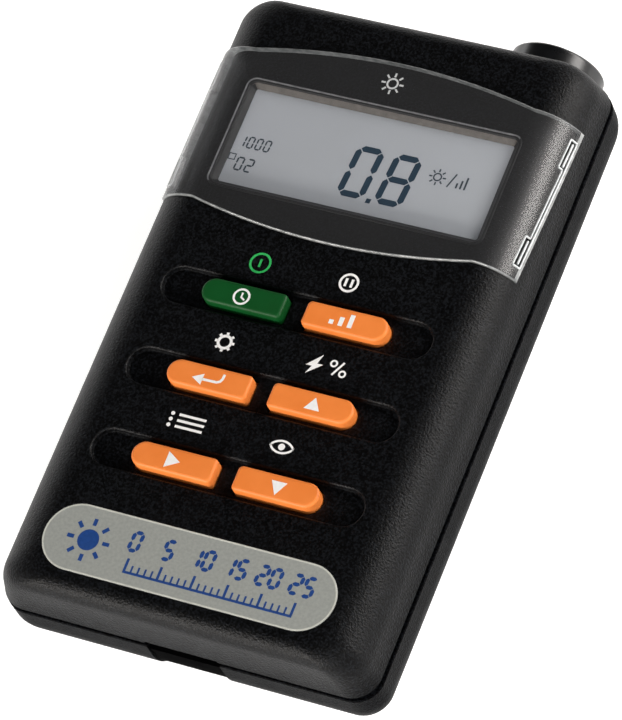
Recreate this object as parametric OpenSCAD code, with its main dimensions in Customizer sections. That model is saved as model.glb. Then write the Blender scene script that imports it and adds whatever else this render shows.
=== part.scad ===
// Handheld solar power meter. Two case halves, a clear window that wraps over the front,
// six sprung keys, a light sensor in the top end and a hinged battery door in the back.
// +Z points out of the front face, +Y to the sensor end, and the back lies on z = 0.

/* [Body] */
// Distance from the outer battery cells to the sides of the case
side_room = 10.55; // [10:0.05:12]
// Height from the battery bay's roof to the parting line
roof_room = 7.95; // [7.5:0.05:9]
// Height of the front half above the parting line
front_h = 10.4; // [9.8:0.1:12]
// Width of the groove at the parting line
groove_w = 0.45; // [0.3:0.05:0.6]
// Wall thickness of both case halves
wall_t = 2.2; // [1.9:0.1:2.4]
// Radius of the case's corners, seen from the front
corner_r = 4.5; // [4:0.25:5.5]
// Radius of the long edges of the front
side_r = 7.75; // [7:0.25:8]
// Radius of the short edges of the front
end_r = 3.3; // [2.8:0.1:4]
// Lean of the front's long walls below their edge rounds, in degrees from upright
side_lean = 12.5; // [10:0.5:14]
// Lean of the front's end walls below their edge rounds, in degrees from upright
end_lean = 6; // [4:0.5:8]
// Height of the straight band on the rear half, below the groove
band_h = 3.8; // [3.2:0.1:4.2]
// Radius at which the rear half starts to curve under
under_r = 10; // [9:0.5:11]
// Lean of the rear half's lower walls, in degrees from upright
under_tilt = 29; // [27:0.5:31]
// Radius between the lower walls and the flat back
back_r = 3.5; // [3:0.25:4]

/* [Window] */
// Distance from the top end of the case to the window, on the middle line
window_top = 8.35; // [7.5:0.25:9.5]
// How far the window's upper and lower borders bow
window_bow = 2.65; // [1.5:0.25:3.5]
// Width over which the borders bow
window_bow_w = 48; // [44:1:52]
// How far the window stands out of the case
window_proud = 0.4; // [0.2:0.1:0.6]
// Depth of the window's seat in the case
window_seat = 1.2; // [0.9:0.1:1.3]
// How far the window reaches down the sides at its lower corner
window_drop_low = 4; // [3:0.25:4.5]
// How far the window reaches down the sides at its upper corner
window_drop_high = 5.4; // [4.5:0.25:6]

/* [Display] */
// Height of the display opening at its rim
lcd_open_l = 19.2; // [18:0.1:20.5]
// Distance from the window's lower border to the display opening
lcd_below = 6.35; // [6:0.05:7]
// Distance from the display opening to the window's upper border
lcd_above = 7.35; // [7:0.05:8.5]
// How much the opening narrows on each side towards the glass
lcd_draw_in = 0.75; // [0.4:0.05:1]
// How far the display glass reaches past the opening at its sides
lcd_ledge = 1.2; // [1:0.1:1.5]
// How far the display glass reaches past the opening at its contact edges
lcd_contact = 2.6; // [2.4:0.1:2.8]
// Gap between the display glass and the side walls
lcd_room = 0.7; // [0.5:0.05:1]
// Thickness of the display glass
lcd_t = 2.2; // [1.8:0.1:2.6]

/* [Keys] */
// Distance from the window's lower border to the first row of keys
key_first = 12.13; // [11.5:0.25:13]
// Distance between rows of keys
key_pitch = 14.45; // [13.5:0.25:14.75]
// Width of a key
key_w = 4.2; // [3.8:0.1:4.6]
// Distance from the middle line to a key's square end
key_in = 1.75; // [1.5:0.05:2.5]
// Length of a key
key_l = 14.05; // [13:0.05:15]
// How far a key stands out of the front face
key_proud = 1.1; // [0.9:0.1:1.4]
// Travel of a key
key_travel = 0.9; // [0.6:0.1:1]
// Gap between a key and its hole
key_gap = 0.3; // [0.25:0.05:0.4]
// Distance from the side of the case to the recess round a row of keys
recess_in = 9.15; // [8.75:0.05:11]
// Width of the recess round a row of keys
recess_w = 6.13; // [5.8:0.1:6.6]
// Depth of the recess round a row of keys
recess_d = 1; // [0.8:0.1:1.2]

/* [Label] */
// Distance from the side of the case to the label plate
label_in = 7.5; // [7.25:0.05:9]
// Width of the label plate
label_w = 11.16; // [10:0.25:12]
// Distance from the last row of keys to the middle of the label
label_down = 15.46; // [14:0.02:18]
// Distance from the lower end of the case to the middle of the label
label_up = 10.26; // [10:0.02:12]

/* [Sensor] */
// How far the sensor boss stands out of the top end
boss_out = 3; // [2:0.25:4]
// Radius of the sensor boss
boss_r = 7.7; // [7:0.1:7.9]
// Gap between the sensor's flange and the side wall
sensor_room = 1.5; // [1:0.1:2.5]
// Distance from the parting line down to the sensor's axis
sensor_drop = 1.85; // [1.5:0.1:2.2]
// Width of the boss's rim round the diffuser
diffuser_rim = 1.6; // [1.3:0.1:2]
// Thickness of the sensor's diffuser
diffuser_t = 1.4; // [1:0.1:1.8]

/* [Batteries] */
// Diameter of a battery cell
cell_d = 10.5; // [10.3:0.1:10.7]
// Length of a battery cell with its button
cell_l = 44.5; // [43.5:0.25:45]
// Gap between neighbouring cells
cell_gap = 0.3; // [0.2:0.05:0.35]
// Length of a contact spring at rest
spring_l = 4.8; // [4.4:0.1:5.2]
// Gap between the lower contact plates and the end wall
bay_room = 1.1; // [0.8:0.1:1.6]

/* [Battery door] */
// Distance from the side of the case to the door's side edge
door_in = 7.4; // [7:0.1:7.6]
// Height that the door's edges reach on the leaning walls
door_rise = 5; // [4.6:0.1:5.2]
// Gap round the battery door
door_gap = 0.3; // [0.2:0.05:0.4]
// Radius of the door's lower corners
door_corner = 6; // [5:0.5:7]
// Width of the finger notch in the lower end
notch_w = 12.4; // [11:0.2:14]
// Height of the finger notch above the parting line
notch_up = 0.8; // [0.6:0.1:1]
// Radius of the door's hinge pins
pin_r = 0.7; // [0.6:0.05:0.8]
// Running gap between a hinge pin and its ear
pin_gap = 0.05; // [0.03:0.01:0.09]

/* [Interfaces] */
// Radius of the data jack's bore
jack_r = 1.8; // [1.6:0.05:1.9]
// Depth of the data jack's bore
jack_depth = 12; // [10:0.5:14]
// Distance from the top end of the case to the data jack
jack_down = 34; // [30:1:38]
// Radius of the tripod thread
tripod_r = 3.175; // [3:0.025:3.3]
// Length of the tripod insert
tripod_l = 6.5; // [5.5:0.25:7]
// Distance from the top end of the case to the tripod thread
tripod_down = 24.5; // [22:0.5:28]

/* [Hidden] */
$fn = 48;

// Overrun of a cut past the surface that it opens
over = 1;
// Gap between small pieces that lie on each other
part_gap = 0.05;
// Steps in a corner of the case, seen from the front
corner_n = 5;
// Steps in the arc of a window border
bow_n = 10;
// Steps in the long edge rounds of the front
front_n = 6;

// Colours
case_black = "#1d1e20";
door_black = "#1a1b1d";
window_grey = "#6b7278";
glass_grey = "#9fb0b6";
key_orange = "#f07a2a";
key_green = "#0d5a33";
carbon = "#161616";
board_green = "#1f6b45";
metal = "#b9bcc0";
brass_yellow = "#c9a24a";
label_grey = "#b8b6a8";
cell_sleeve = "#2c4c7c";

// Battery cells, seen from the back: the door, a foam pad, the cells and the bay's roof
pad_t = 0.8;
pad_gap = 0.35;
cell_z = wall_t + pad_t + pad_gap + cell_d / 2;
roof_gap = 0.3;
roof_t = 1.5;
roof_z = cell_z + cell_d / 2 + roof_gap;

// The case holds the cells side by side, and its front is as long as what stands on it
part_z = roof_z + roof_t + roof_room;
body_w = 4 * cell_d + 3 * cell_gap + 2 * side_room;
body_h = part_z + front_h;
window_l = lcd_below + lcd_open_l + lcd_above;
body_l = window_top + window_l + key_first + 2 * key_pitch + label_down + label_up;

// Ends of the case along Y, with the whole length centred on the origin
overall_l = body_l + boss_out;
y_top = overall_l / 2 - boss_out;
y_bot = -overall_l / 2;
y_mid = (y_top + y_bot) / 2;
// Edges of the groove between the two halves
rear_top = part_z - groove_w / 2;
front_bot = part_z + groove_w / 2;
ceil_z = body_h - wall_t;
// Lip of the rear half inside the front half
lip_in = 1.2;
lip_h = 1.2;
lip_gap = 0.1;

// Rear half: the height where it starts to curve under, and how far in the flat back starts
band_z = rear_top - band_h;
arc_end_in = under_r * (1 - cos(under_tilt));
arc_end_z = band_z - under_r * sin(under_tilt);
back_start_z = back_r * (1 - sin(under_tilt));
back_in = arc_end_in + (arc_end_z - back_start_z) * tan(under_tilt) + back_r * cos(under_tilt);

// Window borders on the middle line
window_y1 = y_top - window_top;
window_y0 = window_y1 - window_l;
window_gap = 0.1;

// Display stack, from the ceiling of the front half down to the board
lcd_y = window_y0 + lcd_below + lcd_open_l / 2;
lcd_corner = 1.5;
lcd_under = 0.3;
lcd_top = ceil_z - lcd_under;
lcd_bot = lcd_top - lcd_t;
lcd_w = 2 * (front_half(body_w / 2, side_r, side_lean, lcd_top, wall_t) - lcd_room);
lcd_l = lcd_open_l + 2 * lcd_contact;
lcd_open_w = lcd_w - 2 * lcd_ledge;
reflector_t = 0.3;
reflector_in = 1.8;
reflector_edge = 3.7;
reflector_w = lcd_w - 2 * reflector_in;
reflector_l = lcd_l - 2 * reflector_edge;
sheet_gap = 0.05;
holder_rim = 1.4;
holder_lap = 1.2;
holder_gap = 0.15;
holder_ledge = 1;
zebra_in = 3.1;
zebra_w = lcd_w - 2 * zebra_in;
zebra_t = 1.8;
zebra_edge = 1.7;
zebra_gap = 0.1;

// Screws that hold the case: shank, head, column and boss
case_screw_in = 6.4;
case_screw_up = 6.5;
case_screw_down = 6.7;
column_r = 3.4;
column_gap = 0.2;
case_screw_r = 1.3;
case_screw_hole = 1.5;
case_screw_l = 12;
case_head_r = 2.3;
case_head_h = 1.7;
case_head_well = 2.7;
case_seat_drop = 7.6;
case_seat_z = part_z - case_seat_drop;
case_boss_r = 3.2;
case_boss_hole = 1.35;

// Main board, just above the parting line and between the columns
board_over = 0.4;
board_t = 1.6;
board_edge = 1.4;
board_low = 0.4;
board_high = 1.2;
board_corner = 2;
board_z0 = part_z + board_over;
board_z1 = board_z0 + board_t;
board_y0 = y_bot + case_screw_up + column_r + board_low;
board_y1 = y_top - case_screw_down - column_r - board_high;
board_w = body_w - 2 * (wall_t + board_edge);
board_l = board_y1 - board_y0;
board_mid = (board_y0 + board_y1) / 2;

// Screws that hold the board: place, shank, head and boss
board_screw_in = 3.9;
board_screw_up = 4;
board_screw_down = 2.85;
board_screw_y = window_y0 - board_screw_down;
board_screw_places = [for (x = [-1, 1], y = [board_y0 + board_screw_up, board_screw_y])
    [x * (board_w / 2 - board_screw_in), y]];
board_boss_r = 2.6;
board_screw_r = 0.85;
board_screw_l = 5;
board_head_r = 1.8;
board_head_h = 1.2;
screw_gap = 0.1;

// Keys
key_y = window_y0 - key_first;
key_rows = [for (i = [0:2]) key_y - i * key_pitch];
key_out = key_in + key_l;
key_mid = (key_in + key_out) / 2;
recess_l = body_w - 2 * recess_in;
key_top = body_h + key_proud;
key_corner = 0.7;
key_edge = 0.5;
flange_w = 0.8;
flange_t = 0.9;
flange_gap = 0.3;
flange_z1 = ceil_z - flange_gap;
flange_z0 = flange_z1 - flange_t;
stem_r = 1.8;
pill_r = 1.5;
pill_t = 0.7;
pill_clear = 0.4;
pill_z0 = board_z1 + key_travel + pill_clear;
pill_z1 = pill_z0 + pill_t;

// Keypad mat and its domes
mat_gap = 0.9;
mat_w = board_w - 2 * (board_screw_in + board_boss_r + mat_gap);
mat_rim = 4;
mat_t = 1;
mat_corner = 3;
dome_gap = 0.4;
dome_wall = 1;
dome_wall_top = 0.6;
dome_under = 0.35;
dome_top = flange_z0 - key_travel - dome_under;

// Label plate
label_l = body_w - 2 * label_in;
label_t = 0.3;
label_sink = 0.25;
label_gap = 0.05;

// Sensor
sensor_flange_lap = 0.6;
sensor_flange_t = 1;
sensor_flange_gap = 0.1;
sensor_flange_room = 0.6;
flange_r = boss_r + sensor_flange_lap;
sensor_x = body_w / 2 - wall_t - sensor_room - flange_r;
sensor_z = part_z - sensor_drop;
boss_gap = 0.1;
boss_edge = 0.5;
cradle_in = 0.6;
cradle_t = 1.2;
diffuser_r = boss_r - diffuser_rim;
diffuser_gap = 0.1;
diffuser_sink = 0.3;
seal_t = 0.8;
seal_w = 0.9;
filter_in = 1.1;
filter_r = diffuser_r - filter_in;
filter_t = 1;
bore_in = 0.6;
bore_r = filter_r - bore_in;
diode_in = 0.3;
diode_rim_in = 0.1;
diode_h = 3.6;
diode_rim_t = 0.5;
lead_r = 0.25;
lead_x = 1.27;
lead_run = 3;
// Places along the sensor's axis, from the outer face inwards
sensor_face = y_top + boss_out;
diffuser_y = sensor_face - diffuser_sink - diffuser_t;
seal_y = diffuser_y - seal_t;
filter_y = seal_y - filter_t;
diode_y = filter_y - diffuser_gap - part_gap - diode_h;
// The flange stands clear of the leaning end wall, and the housing goes on through the cradle
sensor_back = rear_inset(sensor_z - flange_r, wall_t) + sensor_flange_room + sensor_flange_t
    + sensor_flange_gap + cradle_t + cradle_in;
sensor_y0 = y_top - sensor_back;

// Screw places: two at the lower corners and two beside the sensor
case_screw_x = sensor_x - flange_r - column_r - column_gap;
case_screw_places = [
    [case_screw_in - body_w / 2, y_bot + case_screw_up],
    [body_w / 2 - case_screw_in, y_bot + case_screw_up],
    [-case_screw_x, y_top - case_screw_down],
    [case_screw_x, y_top - case_screw_down]
];

// Battery bay, its ends and its contacts
plate_t = 0.3;
plate_w = 8.6;
plate_h = 8.6;
bay_slack = 0.3;
bay_l = 2 * plate_t + spring_l + cell_l + bay_slack;
bay_y0 = y_bot + rear_inset(cell_z - plate_h / 2, wall_t) + bay_room;
bay_y1 = bay_y0 + bay_l;
bay_wall = 1.2;
bay_gap = 0.6;
bay_half = 2 * (cell_d + cell_gap) + bay_gap;
pad_in = 4.8;
roof_corner = 3;
roof_in = 3.1;
nub_r = 1.9;
nub_h = 1;
cap_lip = 0.4;
cell_edge = 0.5;
cells = [for (i = [0:3]) (i - 3 / 2) * (cell_d + cell_gap)];
wire_gap = 0.2;
wire_r = 0.6;
spring_wire = 0.35;
spring_r0 = 3.3;
spring_r1 = 2.5;
spring_turns = 3;
spring_steps = 12;
spring_sides = 6;
spring_end_gap = 0.05;
rib_w = 1.6;
rib_h = 2;
rib_end = plate_t + spring_l / 4;

// Battery door, its hinge at the upper edge and its latch tongue in the notch
door_half = body_w / 2 - door_in;
// The door's lower corners are centred above the place where its edge meets the leaning end wall
door_corner_y = y_bot + back_in - back_r * cos(under_tilt) - (door_rise - back_start_z) * tan(under_tilt)
    + door_corner;
hinge_y = bay_y1;
hinge_z = wall_t / 2;
hinge_r = wall_t / 2;
ear_room = 11.6;
ear_in = body_w / 2 - ear_room;
ear_t = 1.5;
ear_over = 0.05;
ear_r = hinge_r + ear_over;
tongue_gap = 0.3;
tongue_t = 1.5;
tongue_low_in = 0.5;
tongue_mid_in = 1;
tongue_top_in = 1.6;
tongue_below = 2;
tongue_lip = 1.1;
tongue_lip_h = 1.2;
pocket_in = 4.9;
pocket_wall = 1.4;
pocket_gap = 0.1;

// Data jack
jack_y = y_top - jack_down;
jack_wall = 0.8;
jack_gap = 0.2;
jack_sink = 0.4;
jack_body_w = 6;
jack_body_h = 7.2;
jack_under = 0.1;
jack_axis_down = 4.8;
jack_z = board_z0 - jack_under - jack_axis_down;

// Tripod insert
tripod_wall = 1.4;
tripod_boss = 2.6;
tripod_gap = 0.05;
tripod_sink = 0.3;
tripod_floor = 1.5;
tripod_y = y_top - tripod_down;

// Chips under the board: sizes, and places as shares of the board's half width and length
mcu_w = 10;
mcu_h = 1.4;
chip_w = 4;
chip_l = 5;
chip_h = 1.5;
mcu_share = [0.15, 0.08];
chip_shares = [[-0.35, 0.2], [0.6, 0.3], [0.6, 0.55], [-0.3, 0.62]];
can_r = 1.5;
can_l = 8;
crystal_share = [-0.35, -0.05];

// Points of an arc about a centre
function arc(c, r, a0, a1, n) = [for (i = [0:n]) let (a = a0 + (a1 - a0) * i / n)
    [c[0] + r * cos(a), c[1] + r * sin(a)]];

// One rounded-rectangle ring of the case: half width, half length, corner radius and height
function ring(a, b, r, z) = [for (k = [0:3]) let (
        sx = (k == 0 || k == 3) ? 1 : -1,
        sy = k < 2 ? 1 : -1)
    for (p = arc([sx * (a - r), y_mid + sy * (b - r)], r, 90 * k, 90 * k + 90, corner_n))
        [p[0], p[1], z]];

// Half size of the front at a height, on a surface d below the outside: a leaning wall that
// meets an edge round of radius r
function front_half(half, r, lean, z, d) = let (
        zc = body_h - r,
        c = half - (zc + r * sin(lean) - front_bot) * tan(lean) - r * cos(lean),
        q = r - d,
        h = z - zc)
    h > q * sin(lean) ? c + sqrt(max(q * q - h * h, 0))
        : c + q * cos(lean) + (q * sin(lean) - h) * tan(lean);
function front_ring(d, z) = ring(
    front_half(body_w / 2, side_r, side_lean, z, d),
    front_half(body_l / 2, end_r, end_lean, z, d), corner_r - d, z);

// Rings of the front half from a height z0 up, on a surface d below the outside
function front_rings(d, z0) = concat(
    [front_ring(d, z0)],
    [for (t = [0:1 / front_n:1]) let (a = side_lean + (90 - side_lean) * t)
        front_ring(d, body_h - side_r + (side_r - d) * sin(a))]);

// Inset and height of the rear half's curve at an angle, on a surface d below the outside
function under_point(d, a) = [under_r - (under_r - d) * cos(a), band_z - (under_r - d) * sin(a)];
function back_point(d, a) = [back_in - (back_r - d) * cos(a), back_r - (back_r - d) * sin(a)];

// How far in from the parting line's outline the rear half is at a height, d below the outside
function rear_inset(z, d) = let (q = under_r - d, h = band_z - z)
    h <= 0 ? d : h < q * sin(under_tilt) ? under_r - sqrt(q * q - h * h)
        : under_r - q * cos(under_tilt) + (h - q * sin(under_tilt)) * tan(under_tilt);

// Rings of the rear half from the back up to a height z1, on a surface d below the outside
function rear_rings(d, z1) = concat(
    [for (a = [90, 60, under_tilt]) let (p = back_point(d, a))
        ring(body_w / 2 - p[0], body_l / 2 - p[0], corner_r - d, p[1])],
    [for (a = [under_tilt, under_tilt / 2, 0]) let (p = under_point(d, a))
        ring(body_w / 2 - p[0], body_l / 2 - p[0], corner_r - d, p[1])],
    [ring(body_w / 2 - d, body_l / 2 - d, corner_r - d, z1)]);

// A closed solid through rings of equal count, listed from the lowest up
module loft(rings) {
    n = len(rings[0]);
    m = len(rings);
    polyhedron(
        points = [for (r = rings) for (p = r) p],
        faces = concat(
            [[for (j = [0:n - 1]) j]],
            [[for (j = [0:n - 1]) m * n - 1 - j]],
            [for (i = [0:m - 2], j = [0:n - 1], t = [0, 1]) let (
                    a = i * n + j,
                    b = i * n + (j + 1) % n)
                t == 0 ? [a, a + n, b + n] : [a, b + n, b]]));
}

module front_skin(d, z0) {
    loft(front_rings(d, z0));
}

module rear_skin(d, z1) {
    loft(rear_rings(d, z1));
}

// A flat rounded rectangle
module rounded(w, l, r) {
    square([w - 2 * r, l], center = true);
    square([w, l - 2 * r], center = true);
    for (x = [-1, 1], y = [-1, 1])
        translate([x * (w / 2 - r), y * (l / 2 - r)]) circle(r);
}

// A flat bar with round ends, by its whole length and width
module obround(l, w) {
    square([l - w, w], center = true);
    for (x = [-1, 1])
        translate([x * (l - w) / 2, 0]) circle(w / 2);
}

// A slab of the case's outline, d inside it, between two heights
module case_slab(d, z0, z1) {
    translate([0, y_mid, z0]) linear_extrude(z1 - z0)
        rounded(body_w - 2 * d, body_l - 2 * d, corner_r - d);
}

// A box by its lowest and highest corners
module box(p, q) {
    translate(p) cube(q - p);
}

// A rod along +Y or +X from a point
module rod_y(p, l, r) {
    translate(p) rotate([-90, 0, 0]) cylinder(l, r, r);
}
module rod_x(p, l, r) {
    translate(p) rotate([0, 90, 0]) cylinder(l, r, r);
}

// The window's outline seen from the front, grown by g
module window_outline(g) {
    half = body_w / 2 + over;
    y0 = window_y0 - g;
    y1 = window_y1 + g;
    translate([0, 0, part_z]) linear_extrude(body_h)
        polygon(concat(
            [[-half, y0 + window_bow], [-window_bow_w / 2, y0 + window_bow]],
            [for (i = [1:bow_n - 1]) let (u = 2 * i / bow_n - 1)
                [window_bow_w / 2 * u, y0 + window_bow * u * u]],
            [[window_bow_w / 2, y0 + window_bow], [half, y0 + window_bow]],
            [[half, y1 - window_bow], [window_bow_w / 2, y1 - window_bow]],
            [for (i = [1:bow_n - 1]) let (u = 1 - 2 * i / bow_n)
                [window_bow_w / 2 * u, y1 - window_bow * u * u]],
            [[-window_bow_w / 2, y1 - window_bow], [-half, y1 - window_bow]]));
}

// The window's outline seen from the side, grown by g
module window_side(g) {
    rotate([90, 0, 90]) translate([0, 0, -body_w / 2 - over]) linear_extrude(body_w + 2 * over)
        polygon([
            [window_y0 - over, body_h - window_drop_low - g],
            [window_y1 + over, body_h - window_drop_high - g],
            [window_y1 + over, body_h + over + over],
            [window_y0 - over, body_h + over + over]]);
}

// The window as a solid; with a gap it is the pocket that the window lies in
module window_shape(g, proud) {
    difference() {
        intersection() {
            front_skin(-proud, part_z);
            window_outline(g);
            window_side(g);
        }
        front_skin(window_seat + g, part_z - over);
    }
}

// The display opening, narrowing towards the glass
module lcd_opening() {
    translate([0, lcd_y - y_mid, 0])
        loft([for (s = [[-over, lcd_draw_in], [wall_t - window_seat, 0], [wall_t, 0]])
            ring(lcd_open_w / 2 - s[1], lcd_open_l / 2 - s[1], lcd_corner, ceil_z + s[0])]);
}

// Flat outline of a key on the right-hand side, grown by e
module key_flat(e) {
    r = key_w / 2 + e;
    translate([key_out - key_w / 2, 0]) circle(r);
    translate([key_in - e, -r]) square([key_out - key_w / 2 - key_in + e, 2 * r]);
}

// Ring of points round a key on the right-hand side, shrunk by e
function key_ring(e, z) = let (
        h = key_w / 2 - e,
        r = key_corner)
    [for (p = concat(
        arc([key_out - key_w / 2, 0], h, -90, 90, 12),
        arc([key_in + e + r, h - r], r, 90, 180, 3),
        arc([key_in + e + r, r - h], r, 180, 270, 3)))
        [p[0], p[1], z]];

// A key: cap, flange under the front wall and the stem that carries the pill
module key_solid(row, side) {
    translate([0, key_rows[row], 0]) mirror([side < 0 ? 1 : 0, 0, 0]) {
        loft([
            key_ring(0, flange_z1 - flange_t / 2),
            key_ring(0, key_top - key_edge),
            key_ring(key_edge / 4, key_top - key_edge / 4),
            key_ring(key_edge, key_top)]);
        translate([0, 0, flange_z0]) linear_extrude(flange_t) key_flat(flange_w);
        translate([key_mid, 0, pill_z1]) cylinder(flange_z0 - pill_z1 + flange_t / 2, stem_r, stem_r);
    }
}

module pill_solid(row, side) {
    color(carbon) translate([side * key_mid, key_rows[row], pill_z0]) cylinder(pill_t, pill_r, pill_r);
}

// Material left inside the front half: screw bosses, sensor cradle and the notch's roof
module front_fill() {
    for (p = board_screw_places)
        translate([p[0], p[1], board_z1]) cylinder(body_h - board_z1, board_boss_r, board_boss_r);
    for (p = case_screw_places)
        translate([p[0], p[1], part_z]) cylinder(body_h - part_z, case_boss_r, case_boss_r);
    box([-notch_w / 2 - pocket_wall, y_bot, part_z + notch_up],
        [notch_w / 2 + pocket_wall, y_bot + pocket_in + pocket_wall, part_z + notch_up + pocket_wall]);
    box([sensor_x - flange_r, sensor_y0 + cradle_in, front_bot],
        [sensor_x + flange_r, sensor_y0 + cradle_in + cradle_t, body_h]);
}

// Room for the rear half's lip
module lip_rebate() {
    difference() {
        case_slab(lip_in - lip_gap, front_bot - over, part_z + lip_h + lip_gap);
        case_slab(wall_t + lip_gap, front_bot - over - over, part_z + lip_h + over);
    }
}

module sensor_hole(z0, z1) {
    intersection() {
        rod_y([sensor_x, sensor_y0 - over, sensor_z], sensor_back + 2 * over, boss_r + boss_gap);
        box([sensor_x - flange_r, y_bot, z0], [sensor_x + flange_r, y_top + over, z1]);
    }
}

module notch_cut(z1) {
    half = notch_w / 2;
    rotate([90, 0, 90]) translate([0, 0, -half]) linear_extrude(notch_w)
        polygon([
            [y_bot - over, door_rise - door_gap / 3],
            [bay_y0 - bay_wall - sheet_gap, door_rise - door_gap / 3],
            [bay_y0 - bay_wall - sheet_gap, roof_z],
            [y_bot + pocket_in, roof_z],
            [y_bot + pocket_in, z1],
            [y_bot - over, z1]]);
}

module front_case() {
    color(case_black) difference() {
        front_skin(0, front_bot);
        difference() {
            front_skin(wall_t, front_bot - over);
            front_fill();
        }
        lip_rebate();
        window_shape(window_gap, over);
        lcd_opening();
        for (y = key_rows) translate([0, y, 0]) {
            translate([0, 0, body_h - recess_d]) linear_extrude(recess_d + over) obround(recess_l, recess_w);
            for (s = [0, 1]) mirror([s, 0, 0])
                translate([0, 0, ceil_z - over]) linear_extrude(wall_t + over) key_flat(key_gap);
        }
        translate([0, y_bot + label_up, body_h - label_sink]) linear_extrude(label_sink + over)
            obround(label_l + 2 * label_gap, label_w + 2 * label_gap);
        for (p = board_screw_places)
            translate([p[0], p[1], board_z1 - over])
                cylinder(board_screw_l + over, board_screw_r + screw_gap, board_screw_r + screw_gap);
        for (p = case_screw_places)
            translate([p[0], p[1], part_z - over])
                cylinder(case_screw_l - part_z + case_seat_z + 2 * over, case_boss_hole, case_boss_hole);
        sensor_hole(part_z - over, body_h);
        notch_cut(part_z + notch_up);
    }
}

// Material left inside the rear half: battery bay, columns, cradle, pocket and tripod boss
module rear_fill() {
    translate([0, y_mid + (y_bot - y_mid + bay_y1) / 2, roof_z]) linear_extrude(roof_t)
        rounded(body_w - 2 * roof_in, bay_y1 + bay_wall - y_bot, roof_corner);
    box([-body_w / 2, bay_y1, 0], [body_w / 2, bay_y1 + bay_wall, roof_z + roof_t / 2]);
    box([-bay_half, bay_y0 - bay_wall, door_rise + 4 * door_gap / 3],
        [bay_half, bay_y0, roof_z + roof_t / 2]);
    for (i = [0:2])
        box([(cells[i] + cells[i + 1] - rib_w) / 2, bay_y0 + rib_end, roof_z - rib_h],
            [(cells[i] + cells[i + 1] + rib_w) / 2, bay_y1 - rib_end, roof_z + roof_t / 2]);
    for (p = case_screw_places)
        translate([p[0], p[1], 0]) cylinder(rear_top - lip_gap, column_r, column_r);
    box([-notch_w / 2 - pocket_wall, y_bot, roof_z],
        [notch_w / 2 + pocket_wall, y_bot + pocket_in + pocket_wall, part_z + notch_up - pocket_gap]);
    box([sensor_x - flange_r, sensor_y0 + cradle_in, 0],
        [sensor_x + flange_r, sensor_y0 + cradle_in + cradle_t, rear_top]);
    translate([0, tripod_y, 0])
        cylinder(tripod_sink + tripod_l + tripod_floor, tripod_r + tripod_wall + tripod_boss,
            tripod_r + tripod_wall + tripod_boss);
}

// Plan of the battery door, grown by g, up to a height
module door_prism(g, y1, z1) {
    half = door_half + g;
    r = door_corner + g;
    y0 = y_bot + g - over;
    translate([0, 0, -over]) linear_extrude(z1 + over) {
        translate([-half, y_bot + r]) square([2 * half, y1 - y_bot - r]);
        translate([r - half, y0]) square([2 * (half - r), y1 - y0]);
        for (s = [-1, 1]) translate([s * (half - r), door_corner_y]) circle(r);
    }
}

// Ears of the case that hold the door's hinge pins
module hinge_ears() {
    for (s = [0, 1]) mirror([s, 0, 0]) rod_x([ear_in, hinge_y, hinge_z], ear_t, ear_r);
}

module rear_case() {
    color(case_black) difference() {
        union() {
            rear_skin(0, rear_top);
            case_slab(lip_in, rear_top - lip_h, part_z + lip_h);
        }
        difference() {
            rear_skin(wall_t, part_z + lip_h + over);
            rear_fill();
        }
        difference() {
            union() {
                door_prism(door_gap, hinge_y, door_rise + door_gap);
                rod_x([-ear_in, hinge_y, hinge_z], 2 * ear_in, hinge_r + door_gap);
            }
            hinge_ears();
        }
        rod_x([-ear_in - ear_t - over, hinge_y, hinge_z], 2 * (ear_in + ear_t + over), pin_r + pin_gap);
        for (p = case_screw_places) translate([p[0], p[1], 0]) {
            translate([0, 0, -over]) cylinder(case_seat_z + over, case_head_well, case_head_well);
            cylinder(part_z, case_screw_hole, case_screw_hole);
        }
        sensor_hole(0, part_z + lip_h + over);
        notch_cut(part_z + lip_h + over);
        rod_x([-body_w / 2 - over, jack_y, jack_z], wall_t + 2 * over, jack_r + jack_wall + jack_gap);
        translate([0, tripod_y, -over])
            cylinder(tripod_sink + tripod_l + over, tripod_r + tripod_wall + tripod_gap,
                tripod_r + tripod_wall + tripod_gap);
    }
}

module window_lens() {
    color(window_grey) window_shape(0, window_proud);
}

module lcd_glass() {
    color(glass_grey) translate([-lcd_w / 2, lcd_y - lcd_l / 2, lcd_bot]) cube([lcd_w, lcd_l, lcd_t]);
}

module lcd_reflector() {
    color("silver") translate([0, lcd_y, lcd_bot - reflector_t]) linear_extrude(reflector_t - sheet_gap)
        rounded(reflector_w, reflector_l, lcd_corner);
}

// Frame that carries the display glass on the board
module lcd_holder() {
    rim_w = lcd_w + 2 * holder_rim;
    rim_l = lcd_l + 2 * holder_gap;
    color("#232323") difference() {
        translate([0, lcd_y, board_z1]) linear_extrude(lcd_bot + holder_lap - board_z1)
            rounded(rim_w, rim_l + zebra_edge, lcd_corner);
        translate([0, lcd_y, lcd_bot]) linear_extrude(lcd_t)
            square([lcd_w + 2 * holder_gap, rim_l], center = true);
        translate([0, lcd_y, lcd_bot - reflector_t - sheet_gap]) linear_extrude(lcd_t)
            rounded(reflector_w + 2 * holder_gap, reflector_l + 2 * holder_gap, lcd_corner);
        translate([0, lcd_y, board_z1 - over]) linear_extrude(body_h)
            rounded(reflector_w - 2 * holder_ledge, reflector_l - 2 * holder_ledge, lcd_corner);
        for (s = [-1, 1])
            translate([0, lcd_y + s * (lcd_l / 2 - zebra_edge), board_z1 - over]) linear_extrude(body_h)
                square([zebra_w + 2 * zebra_gap, zebra_t + 2 * zebra_gap], center = true);
    }
}

module zebra_strips() {
    color("#3a3a3a") for (s = [-1, 1])
        translate([-zebra_w / 2, lcd_y + s * (lcd_l / 2 - zebra_edge) - zebra_t / 2, board_z1 + sheet_gap])
            cube([zebra_w, zebra_t, lcd_bot - board_z1 - 2 * sheet_gap]);
}

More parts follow.
